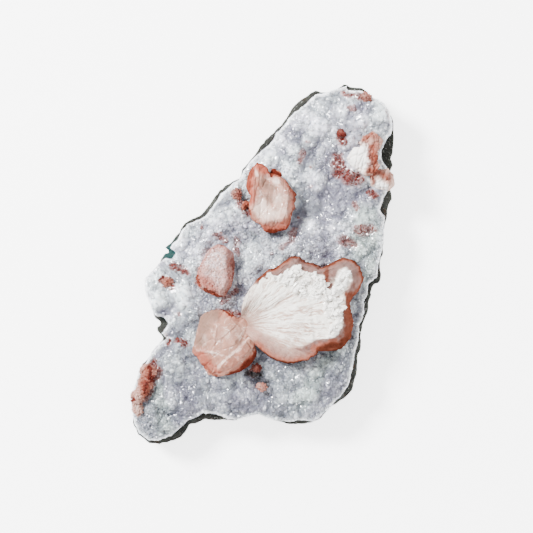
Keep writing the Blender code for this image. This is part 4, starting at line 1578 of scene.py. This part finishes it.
@dataclass
class SheafFan:
    """The fan of fine blades, opened round its pinch, with a stained rim and white flakes."""

    pinch: Point = (-11.5, -30.5)  # centre of the fan
    start: float = 4.0  # radius where it leaves the pinch
    # Angle in degrees, radius of the shoulder and of the rim.
    spokes: tuple[tuple[float, float, float], ...] = (
        (83, 9, 10), (78, 14, 15.5), (72, 20.5, 22), (66.5, 25.5, 27), (63, 29.5, 31.5),
        (58, 31.5, 33.5), (53, 38, 43), (49, 41, 45), (43, 43.5, 45.5), (37, 46.5, 49.8),
        (34.9, 47.5, 50), (33.6, 48.5, 60.5), (30.5, 57, 65), (26, 61, 67), (21, 60, 66.3), (17, 56, 63),
        (14, 54, 58.5), (11.5, 53, 55.8), (9, 52, 56), (0, 49.5, 56.7), (-6, 46, 55.5),
        (-11, 42, 53), (-14.5, 41, 49.7), (-18.5, 40, 41.5), (-27, 37, 38.2), (-33, 32.5, 34.2),
        (-39, 27, 30.5), (-44, 21.5, 26), (-48, 16.5, 21), (-52, 8, 10),
    )
    across_steps: int = 540  # steps from the first spoke to the last
    inner_steps: int = 104  # steps from the pinch to the shoulder
    rim_steps: int = 30  # steps from the shoulder to the rim
    pinch_level: float = BED.top + 8.5  # level of its top at the pinch
    crown_level: float = BED.top + 14.5  # level of its highest part
    rim_level: float = BED.top + 3.5  # level of its rim
    foot: float = SHEAF_FOOT  # level of its root
    side_fall: float = 3.5  # how far the crown falls to its sides
    fibre: float = 0.1  # height of the fibres
    blade: float = 0.08  # height of the broad blades
    tuft: float = 0.34  # height of one tuft of fibres over the next
    ragged: float = 0.9  # unevenness of the rim
    crease: tuple[Point, ...] = ((24.2, -19), (24.9, -26), (26, -35), (26.4, -41))  # a groove across it
    crease_depth: float = 0.5  # its depth
    plate_height: float = 2.6  # height of one plate of flakes over the next
    rim_lump: float = 3.4  # spacing of the lumps of its rim
    rim_lump_height: float = 1.5  # their height
    side_rows: tuple[float, ...] = (0.3, 0.65, 1.0)  # how far down its side each row lies, as a share
    band_turn: Point = (-24.5, -21.5)  # angles in degrees between which the glassy band begins
    band_radius: Point = (18, 26)  # distances from the pinch between which it begins
    # Angle in degrees, and width of the glassy band along the rim there.
    band: tuple[Point, ...] = ((-25, 7.5), (-12, 6.5), (-5, 6.2), (4, 5), (13, 2.6), (20, 3.6), (40, 4.6),
                               (52, 4.2), (62, 1.8), (75, 0.3))
    finish: Finish = CrystalFinish(
        "silky_fan", glow=0.15, reach=1.2, shine=0.0, gloss=0.12, body=(0.42, 0.275, 0.22),
        milk=(0.8, 0.77, 0.71), blush=(0.25, 0.08, 0.052), smoke=(0.17, 0.105, 0.092),
        iron=(0.1, 0.026, 0.014), deep=(0.045, 0.009, 0.005), facet=1.4, tilt=0.25, veins=0.0, clouds=0.25)
    flake_growth: Growth = Growth(Shape.FLAKE, spacing=0.85, smallest=1.6, largest=4.4, slender=1.0, lean=44,
                                  seed=11, mark="flaky")
    flake_finish: Finish = CrystalFinish(
        "white_flakes", glow=0.1, reach=1.0, shine=0.2, gloss=0.7, body=(0.56, 0.52, 0.47),
        milk=(0.9, 0.88, 0.84), facet=1.0, tilt=0.5, veins=0.0, clouds=0.9)
    # Its glassy parts, the second a grey wedge; its flakes; its red-brown stains; its orange-pink flushes.
    glass: Strokes = touches("""
        34,-4 36,0 42,2 47,-3 48,-9 43.5,-15 | 4 1 0.25; 31.5,-1 33,-11 | 2.4 1 0.3""")
    flakes: Strokes = touches("""
        9,-4 14,-7 19,-11 | 4.6 0.8 0.6; 13,-3 23,-8 30,-14 | 6 1 0.5;
        30,-12 33.5,-18 34.5,-25 | 4.8 1 0.5; 35.5,-14 38.2,-9 41.2,-4 | 1.7 1.2 0.9;
        37,-26 34,-36 | 2.4 0.7""")
    over_glass: int = 3  # which touch of flakes lies over the glassy part
    iron: Strokes = touches("""
        42.6,-17 43,-22 43.8,-28 42.5,-36 | 3.4 0.72 0.7; 28,-43 34,-41 42,-38.5 | 2.8 0.85 0.5;
        30.5,-2.5 31.5,-6 31,-9.5 | 1.7 0.7 0.9; 7,-1 14.4,3.8 18,3.5 22,0.5 29,-1 | 1.1 0.65 1.4;
        44.5,2.5 48.7,-1.1 50.4,-6.7 48.7,-12.1 45.3,-16.3 | 1.5 0.75 1""")
    blush: Strokes = touches("""
        -11,-26 -8,-20 -5,-15 | 4 0.3; -11,-30 -5,-36 | 6 0.45 0.3; 26,-42 34,-39 | 3.5 0.8;
        45,-20 47,-30 45,-38 | 4.5 0.9""")

    def polar(self, places: Array) -> tuple[Array, Array]:
        """Distance of places from the pinch, and their direction from it in degrees."""
        out = places[:, :2] - np.array(self.pinch)
        return np.linalg.norm(out, axis=1), np.degrees(np.arctan2(out[:, 1], out[:, 0]))

    def spoke(self, angle: Array) -> tuple[Array, Array]:
        """Shoulder and rim radius at angles in degrees."""
        table = np.array(self.spokes)[::-1]
        return np.interp(angle, table[:, 0], table[:, 1]), np.interp(angle, table[:, 0], table[:, 2])

    def surface(self) -> tuple[Array, Array, Array]:
        """Places of the fan's top, with the share across it and the way along it.

        Returns:
            Places, shares across, and ways along: 1 at the shoulder, 2 at the rim.
        """
        across = np.linspace(0, 1, self.across_steps + 1)
        along = np.concatenate([np.linspace(0, 1, self.inner_steps + 1),
                                1 + np.linspace(0, 1, self.rim_steps + 1)[1:]])
        u, v = (grid.ravel() for grid in np.meshgrid(across, along, indexing="ij"))
        first, last = self.spokes[0][0], self.spokes[-1][0]
        angle = first + (last - first) * u
        shoulder, rim = self.spoke(angle)
        rim = rim + self.ragged * rough_noise(np.column_stack([u * 60, u * 0]), 1, 3, 13)
        rise = ease(v, 0, 0.55)
        crown = self.crown_level - self.side_fall * (2 * u - 1) ** 2
        level = self.pinch_level + (crown - self.pinch_level) * rise
        over = np.clip(v - 1, 0, 1)
        inner = self.start + (shoulder - self.start) * v
        radius = np.where(v <= 1, inner, shoulder + (rim - shoulder) * over)
        level += (self.rim_level - crown) * over**1.4
        turn = np.radians(angle)
        places = np.column_stack([self.pinch[0] + radius * np.cos(turn),
                                  self.pinch[1] + radius * np.sin(turn), level])
        return places, u, v

    def relief(self, places: Array, u: Array, v: Array, flaky: Array) -> tuple[Array, Array, Array]:
        """Height of blades, fibres, plates and crease over the plain top, the streaks, and the gaps between
        plates, which are painted darker as shade.

        Args:
            places: Places of the top.
            u: Their share of the way across the fan.
            v: Their way along it: 1 at the shoulder, 2 at the rim.
            flaky: How flaky they are.

        Returns:
            The heights, the streaks and the gaps, for painted shade.
        """
        radius, _ = self.polar(places)
        spread = np.minimum(1, radius / 10)
        broad = smooth_noise(np.column_stack([u * 26, radius / 26]), 1, 14)
        middle = smooth_noise(np.column_stack([u * 95, radius / 10]), 1, 15)
        fine = smooth_noise(np.column_stack([u * 230, radius / 6]), 1, 16)
        warp = 0.012 * smooth_noise(places[:, :2], 5, 26) + 0.006 * smooth_noise(places[:, :2], 2, 27)
        tuft_near, tuft_next, tuft = cells_near(np.column_stack([(u + warp) * 74, radius / 5.5]), 1, 28)
        hair = smooth_noise(np.column_stack([(u + 2 * warp) * 260, radius / 2.2]), 1, 29)
        streak = 0.2 * broad + 0.25 * middle + 0.2 * fine + 0.35 * hair + 0.4 * (tuft - 0.5)
        near, second, owner = cells_near(np.column_stack([u * 72, radius / 3.4]), 1, 17)
        plate = (owner - 0.35) * self.plate_height + ease(second - near, 0.0, 0.12) * 0.5
        # Gaps between plates, and the lowest plates, which are later painted darker as shade.
        gap = ease(second - near, 0.16, 0.02) + 0.9 * ease(owner, 0.3, 0.0)
        crease = distance_to_path(places, self.crease)
        rise = spread * (self.blade * broad + self.fibre * (0.5 * middle + 0.6 * fine + 1.1 * hair))
        rise += flaky * plate
        rise += spread * self.tuft * ((tuft - 0.5) + 0.5 * ease(tuft_next - tuft_near, 0, 0.2)) * (1 - flaky)
        rise -= self.crease_depth * ease(crease, 1.6, 0.1)
        rise += 0.3 * rough_noise(places[:, :2], 1.3, 3, 24) * ease(radius, 4, 14)
        lumps, _, lump_owner = cells_near(places[:, :2], self.rim_lump, 18)
        lumpy = self.rim_lump_height * (1 - np.minimum(1, lumps / 0.8) ** 2) + 0.5 * lump_owner - 0.6
        rim = ease(v, 1.05, 1.35)
        rise = rise * (1 - rim) + rim * lumpy
        return rise, streak, np.clip(gap, 0, 1) * flaky

    def build(self) -> bpy.types.Object:
        """The fan: its top, its side and its underside.

        Returns:
            The fan.
        """
        places, u, v = self.surface()
        rows, columns = self.across_steps + 1, self.inner_steps + self.rim_steps + 1
        names = np.arange(rows * columns).reshape(rows, columns)
        loop = np.concatenate([names[0, :-1], names[:-1, -1], names[-1, :0:-1], names[:0:-1, 0]])
        edge = places[loop][columns - 1:2 * columns + rows - 3:4, :2]
        radius, turn = self.polar(places)
        inward = distance_to_path(places, edge) + 1.1 * rough_noise(places[:, :2], 2.4, 3, 25)
        inward /= np.interp(turn, *zip(*self.band))
        open_side = ease(turn, *self.band_turn) * ease(radius, *self.band_radius)
        glassy = np.maximum(ease(inward, 1.15, 0.85) * open_side, painted(places, self.glass))
        glassy *= 1 - np.clip(self.flakes[self.over_glass].over(places), 0, 1)
        flaky = painted(places, self.flakes) * (1 - glassy)
        rise, streak, gap = self.relief(places, u, v, flaky)
        places[:, 2] += rise
        points, faces = self._closed(places, names, loop)
        marks = self._marks(points, edge, glassy, flaky, streak, gap)
        marks["flaky"] = extended(flaky * ease(inward, 1.1, 1.5), len(points))
        fan = mesh_object("sheaf_fan", points, faces, marks)
        turned_outwards(fan)
        return self.finish.dress(fan)

    def _closed(self, places: Array, names: Array, loop: Array) -> tuple[Array, list]:
        """Points and faces of the top, the rows of the side, and the underside.

        Args:
            places: Points of the top.
            names: Their numbers, one row for each step across.
            loop: Numbers of the top's border, in order.

        Returns:
            All points and all faces.
        """
        quads = np.stack([names[:-1, :-1], names[:-1, 1:], names[1:, 1:], names[1:, :-1]], axis=-1)
        faces = quads.reshape(-1, 4).tolist()
        points, upper = [places], loop
        for row, share in enumerate(self.side_rows):
            lower = places[loop].copy()
            lower[:, 2] += (self.foot - lower[:, 2]) * share
            lower[:, :2] += 0.25 * np.column_stack([smooth_noise(lower, 1.2, seed) for seed in (19, 20)])
            points.append(lower)
            below = len(places) + row * len(loop) + np.arange(len(loop))
            faces += [list(q) for q in zip(upper, below, np.roll(below, -1), np.roll(upper, -1))]
            upper = below
        return np.concatenate(points), [*faces, upper.tolist()]

    def _marks(self, points: Array, edge: Array, glassy: Array, flaky: Array, streak: Array,
               gap: Array) -> dict[str, Array]:
        """Where the fan is stained, flushed, dull, milky and fibrous, where painted shade darkens its gaps,
        and which way its fibres run.

        Args:
            points: All points, those of the top first.
            edge: Path of the rim.
            glassy: How glassy the top is.
            flaky: How flaky it is.
            streak: The streaks of its fibres.
            gap: The gaps between its plates, painted darker as shade.

        Returns:
            One number or vector per point, by the name of the mark.
        """
        whole = len(points)
        outward = points[:, :2] - np.array(self.pinch)
        glass = extended(glassy, whole, 1.0)
        rim = distance_to_path(points, edge) + 0.8 * rough_noise(points[:, :2], 2.5, 3, 25)
        far, aside = self.polar(points)
        low = ease(aside, -8, -25) * ease(far, 4, 14)
        # Milk is taken from the gaps between plates: painted shade.
        milk = extended(0.64 + 1.0 * streak + flaky - 1.3 * gap, whole)
        milk *= ease(far, 0, 22) * (1 - 0.92 * low * ease(rim, 20, 4))
        worn = 0.5 + 0.75 * rough_noise(points[:, :2], 1.8, 3, 31)
        stained = np.maximum(glass * (0.1 + 0.45 * worn + 0.45 * ease(rim, 1.8, 0.2)),
                             low * (0.5 + 0.6 * worn) * ease(rim, 1.8, 0.2))
        stained *= ease(far, 9, 20) * (1 - 0.4 * ease(points[:, 1], -8, -2) * ease(rim, 0.5, 1.5))
        flush = np.maximum(low * (0.3 * ease(rim, 16, 4) + 0.65 * ease(rim, 5.0, 0.3)),
                           glass * (0.2 + 0.6 * ease(rim, 2.6, 0.4)))
        flush *= 1 - 0.75 * painted(points, self.glass[1:])
        # Dull in the lower part, and painted shade in the gaps between plates.
        dull_and_gap_shade = np.maximum(low * 0.6 * ease(rim, 15, 3), extended(0.35 * gap, whole))
        return {
            "iron": np.maximum(painted(points, self.iron), stained),
            "blush": np.maximum(painted(points, self.blush), flush),
            "smoke": np.maximum(glass * 1.05, dull_and_gap_shade),
            "pale": np.clip(milk * (1 - glass), 0, 1),
            "streak": extended(streak * 0.5 + 0.5, whole, 0.5),
            "grain": np.column_stack([outward / far[:, None], np.zeros(whole)]),
        }

    def dressed(self) -> None:
        """Build the fan and grow its flakes."""
        fan = self.build()
        flakes = self.flake_growth.grown("sheaf_flakes", fan, self.flake_finish)
        for piece in (fan, flakes):
            rides(piece, "sheaf", "bow_tie_sheaf")


RUST = CrystalFinish("iron_crystal", glow=0.12, reach=1.0, shine=0.05, facet=0.9, tilt=0.5,
                     body=(0.38, 0.2, 0.165), blush=(0.24, 0.07, 0.042), iron=(0.1, 0.017, 0.012),
                     deep=(0.05, 0.006, 0.005), clouds=1.5)
SPARKLE = Growth(Shape.POINT, spacing=0.75, smallest=0.8, largest=1.5, slender=0.9, lean=40, seed=15)

# The lobe behind the fan: a flat band and two low ridges, and stained corners.
SHEAF_LOBE = SheafLobe(
    "bow_tie_sheaf", "sheaf_lobe", "sheaf", grain=42, steps=0.8, side_iron=0.2, voxel=0.38,
    rim_iron=0.06, rim_blush=0.22, rim_reach=3.0, mosaic=0.45, block=4.5,
    ridges=(Ridge(((-20.4, -52.8), (-5.2, -38.4)), 3.0, 1.7, 0.72),
            Ridge(((-22.5, -27), (-24.6, -42.5)), 0.9, 0.5),
            Ridge(((-33, -43.5), (-24, -44), (-17, -47)), 0.8, 0.5)),
    iron=touches("""
        -20,-58 -11,-54.2 -2.8,-45 | 3.1 0.9 0.6; -30,-50 -24,-55.5 | 1.4 0.6 0.9;
        -4.2,-39 -4.5,-44 | 1 0.6; -20,-23 -12.5,-26.2 | 1 0.9 1.4"""),
    blush=touches("""
        -31,-46 -27,-51 -22,-53.5 | 5 0.8 0.7; -20,-53 -5,-39 | 4 0.5 0.6; -14,-56 -3.5,-46 | 4 1;
        -20.5,-24.5 -12,-27.5 | 2.4 0.6"""),
    smoke=touches("""
        -27,-26 -31,-31 -32,-38 | 7 1 0.6; -30,-46 -24,-53 | 4 0.45 0.8;
        -20,-52.5 -6,-39.5 | 3.6 0.5; -12,-39 -16.5,-43.5 | 3.2 0.6 0.8; -22,-47 -27,-44 | 2 0.4 1"""),
    pale=touches("""
        -29.8,-37 | 2.4 0.8 0.8; -22.6,-51 -7.2,-36.8 | 0.6 0.6 0.8; -17,-34 -9,-33 | 3.6 0.3 0.8;
        -33.5,-43 -24.5,-44 -17,-46 -12,-42 | 0.8 0.5 1.4"""),
)

# Two blocks with a valley between them, and red corners.
UPPER_CRYSTAL = StoneCrystal(
    "upper_crystal", "upper_crystal_block", grain=80, side_iron=0.5, rim_iron=0.5, rim_blush=0.55,
    rim_reach=3.6, mosaic=0.4, steps=0.6, lines=0.16,
    iron=touches("""
        -7.6,46 -7.4,40 -7.4,33 | 3 0.62 1;
        -8.4,36 -8.6,45 -6,49.5 -2.5,51.5 1.5,49.5 4.5,45 | 1.5 0.75 1.3; 4.5,46 10,43.5 | 2 1;
        -9.5,29.5 -6.5,25 | 1.8 0.7; 1.5,16 12,16.8 | 1.5 0.8;
        11.5,42 15.2,36 17,30 15.4,25 15,19 | 1.3 0.65 1.4"""),
    blush=touches("""
        -7,46 -6.5,39 -6.8,32 | 5.4 1 0.3; -5.5,50 -1,48.5 3.5,45.5 | 5.2 1 0.3;
        -8,30 -5,22 | 2.4 0.5 0.6; 0,17.5 12.5,18 | 5.2 0.95 0.6;
        11,41 15.5,33 15.5,20 | 4.4 0.8 0.8"""),
    smoke=touches("0.5,40 3.5,37.5 4,31 | 3.2 0.75 0.8; -1,20 9,20.5 | 2.6 0.35"),
    # The third pale touch, a white streak on the upper knob, is a painted highlight.
    pale=touches("""
        8.5,32.5 | 6.5 0.5 0.8; -2,30 1,24 9,25 | 5 0.6 0.8; -3.8,47.5 -2.8,44 | 0.9 1.1 0.3;
        3,43.8 6.5,41.2 | 2 1.1 0.6"""),
    ridges=(Ridge(((2.4, 43), (2.6, 37), (3.4, 30)), 3.0, -1.1),),
)

# A pink tablet with small points on its top.
LEFT_TABLET = StoneCrystal(
    "left_tablet", "left_tablet_block", grain=75, side_iron=0.4, steps=0.4, mosaic=0.35, block=2.2,
    rim_iron=0.25, rim_blush=0.6, rim_reach=4.0,
    iron=touches("""
        -14.4,3 -14,-8 -17,-14.5 | 1.8 0.6 1; -33.4,-5 -31.5,-11 | 1.6 0.8;
        -29,-13 -21,-16.5 | 1.5 0.8; -25,9.6 | 1.1 0.7; -20,9.6 | 1.3 0.7"""),
    blush=touches("-16.5,3 -16.5,-11 | 3.4 0.7; -31,-8 -23,-13.5 | 4.6 0.8"),
    pale=touches("-24,4 -22,-5 | 5.5 0.35"),
    sprout=Growth(Shape.POINT, spacing=1.2, smallest=0.9, largest=1.9, slender=0.4, lean=34, seed=21,
                  mark="crown"),
    finish=CrystalFinish("pink_tablet", glow=0.3, reach=1.5, shine=0.05, gloss=0.6, facet=1.1, tilt=0.8,
                         body=(0.4, 0.23, 0.2), milk=(0.74, 0.64, 0.66), blush=(0.25, 0.075, 0.055),
                         veins=0.1),
)

# A broken white block and the peach blocks beside it.
TOP_RIGHT_CLUSTER = StoneCrystal(
    "top_right_cluster", "top_right_blocks", grain=70, side_iron=0.2, mosaic=1.0, block=2.6, steps=1.5,
    lines=0.24, rim_iron=0.05, rim_blush=0.15, rim_reach=2.0,
    iron=touches("""
        57.4,61 57,54 56.8,48 | 1 0.4 1; 61.8,42.6 | 1.2 0.6; 50.5,63 54,65 | 1.4 0.5 1;
        54.2,43.5 55.2,40 | 1 0.6; 53,58 53.6,52 52.8,46 | 1.5 0.6 1.6; 55.5,54 55,45 | 1.4 0.65 1.6"""),
    blush=touches("""
        50.5,62 53.5,64 57,62 55.5,58.5 | 4.4 0.9 0.5; 55.2,58 55.2,45.5 | 4.4 0.95 0.6;
        54.5,46 58,45.5 61.5,43 | 3.8 1; 54,43.5 55.5,40.5 | 1.6 0.7"""),
    pale=touches("45,51.5 48.5,56 49.5,50 | 4.4 1.1 0.3; 57,39.5 61,38.8 | 2.2 1"),
    finish=CrystalFinish("white_block", glow=0.2, reach=1.5, shine=0.0, gloss=0.2, body=(0.5, 0.33, 0.27),
                         milk=(0.84, 0.81, 0.78), blush=(0.24, 0.075, 0.05), facet=1.6, tilt=0.3,
                         veins=0.1),
)

# The red-brown crystals in the lower left corner.
CORNER_CLUSTER = StoneCrystal(
    "corner_cluster", "corner_cluster_crystals", "iron_red", voxel=0.3, base_iron=0.2, block=2.4,
    mosaic=0.7,
    iron=touches("""
        -56.5,-52 -55,-57 | 3 0.8 0.9; -58.5,-59 -58.5,-64 | 1.8 0.7 0.9; -65.3,-68 | 1.6 0.8 0.9;
        -61,-70 | 1.2 0.6"""),
    blush=touches("-59,-54 -60,-66 | 5.5 0.95"),
    pale=touches("""
        -62.5,-66 -63.5,-76 | 4.2 1.2; -61.5,-57 -62.5,-64 | 1.5 0.9; -58.5,-50 -60.5,-54 | 1.2 0.7"""),
    sprout=SPARKLE, finish=RUST,
)

BUD_TONES = {  # how strongly each bud is stained by iron, and how strongly it is flushed
    "red_bud_left": (0.55, 0.6), "red_bud_upper": (0.9, 0.2), "pit_bud_upper": (0.85, 0.5),
    "pit_crystal_lower": (0.1, 0.15), "rim_bud_top": (0.55, 0.4), "orange_bud_left": (0.4, 0.9),
}


def buds() -> list[StoneCrystal]:
    """The six small red and orange crystals, each with a painted highlight at its upper left, the side the
    key light comes from.

    Returns:
        The crystals.
    """
    made = []
    for node, (iron, blush) in BUD_TONES.items():
        low, high = (np.array(end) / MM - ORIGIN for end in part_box(node))
        middle = tuple(((low + high) / 2)[:2])
        made.append(StoneCrystal(
            node, f"{node}_crystal", "iron_red", voxel=0.25, base_iron=iron, block=1.3, mosaic=0.7, steps=0.9,
            sprout=SPARKLE, finish=RUST, blush=(Stroke((middle,), 5, blush, 0.3),),
            # The pale dot at the upper left is a painted highlight.
            pale=(Stroke(((middle[0] - 1, middle[1] + 1),), 1.4, 1 - iron),)))
    return made


def crystals() -> list[StoneCrystal]:
    """Every blocky crystal of the plate.

    Returns:
        The crystals, in the order of building.
    """
    lath = StoneCrystal("pale_lath", "pale_lath_crystal", "pale", voxel=0.25, grain=-42, lines=0.3,
                        finish=DruzyCrust.finish)
    return [SHEAF_LOBE, UPPER_CRYSTAL, LEFT_TABLET, TOP_RIGHT_CLUSTER, CORNER_CLUSTER, *buds(), lath]


# ---------------------------------------------------------------- studio

@dataclass(frozen=True)
class FloorFinish(Finish):
    """Plain pale floor."""

    colour: Colour = (0.93, 0.93, 0.93)

    def surface(self, graph: Graph) -> dict[str, Value]:
        """One pale colour with the faintest grain."""
        return {"Base Color": graph.blend(graph.grain(60, 2) * 0.04, self.colour, (0.9, 0.9, 0.9))}


@dataclass(frozen=True)
class Lamp:
    """A square soft light aimed at the plate."""

    name: str  # name of the light
    place: tuple[float, float, float]  # where it hangs, in metres
    size: float  # its side in metres
    power: float  # its power in watts

    def hang(self) -> None:
        """Add the light to the scene."""
        lamp = bpy.data.lights.new(self.name, "AREA")
        lamp.size, lamp.energy = self.size, self.power
        made = linked(self.name, lamp)
        made.location = self.place
        made.rotation_euler = (-Vector(self.place)).to_track_quat("-Z", "Y").to_euler()


@dataclass
class Studio:
    """Floor, lights and camera."""

    aim: tuple[float, float, float] = (1.75, -1.25, 24.0)  # what the camera looks at
    distance: float = 1.2  # distance of the camera in metres
    field: float = 266.5  # width that the camera sees there in millimetres
    sensor: float = 36.0  # width of the camera's sensor in millimetres
    half_floor: float = 6.0  # half the width of the floor in metres
    sky: float = 1.2  # strength of the white sky
    lamps: tuple[Lamp, ...] = (Lamp("key", (-1.0, 0.65, 1.2), 0.42, 118),
                               Lamp("fill", (0.9, -0.6, 1.2), 1.4, 12), Lamp("top", (0.0, 0.1, 1.9), 1.6, 11))

    def floor(self) -> None:
        """A wide pale floor under the plate."""
        bm = bmesh.new()
        bmesh.ops.create_grid(bm, x_segments=1, y_segments=1, size=self.half_floor)
        mesh = bpy.data.meshes.new("floor")
        bm.to_mesh(mesh)
        bm.free()
        made = linked("floor", mesh)
        FloorFinish("floor_finish", roughness=0.9, shine=0.0, light=2.9).dress(made)

    def camera(self) -> None:
        """The camera, straight above the plate."""
        target = (np.array(self.aim) + ORIGIN) * MM
        camera = bpy.data.cameras.new("camera")
        camera.sensor_width = self.sensor
        camera.lens = self.sensor * self.distance / (self.field * MM)
        made = linked("camera", camera)
        made.location = (target[0], target[1], target[2] + self.distance)
        bpy.context.scene.camera = made

    def build(self) -> None:
        """Floor, lights, sky and camera."""
        self.floor()
        for lamp in self.lamps:
            lamp.hang()
        world = bpy.data.worlds.new("studio")
        bpy.context.scene.world = world
        world.use_nodes = True
        sky = world.node_tree.nodes["Background"]
        sky.inputs["Color"].default_value = (1, 1, 1, 1)
        sky.inputs["Strength"].default_value = self.sky
        self.camera()


def main() -> None:
    """Build and dress every piece."""
    logging.basicConfig(level=logging.INFO, format="%(message)s")
    Studio().build()
    DruzyCrust().dressed()
    BasaltPlate().dressed()
    SheafFan().dressed()
    for crystal in crystals():
        crystal.dressed()


if __name__ == "__main__":
    main()
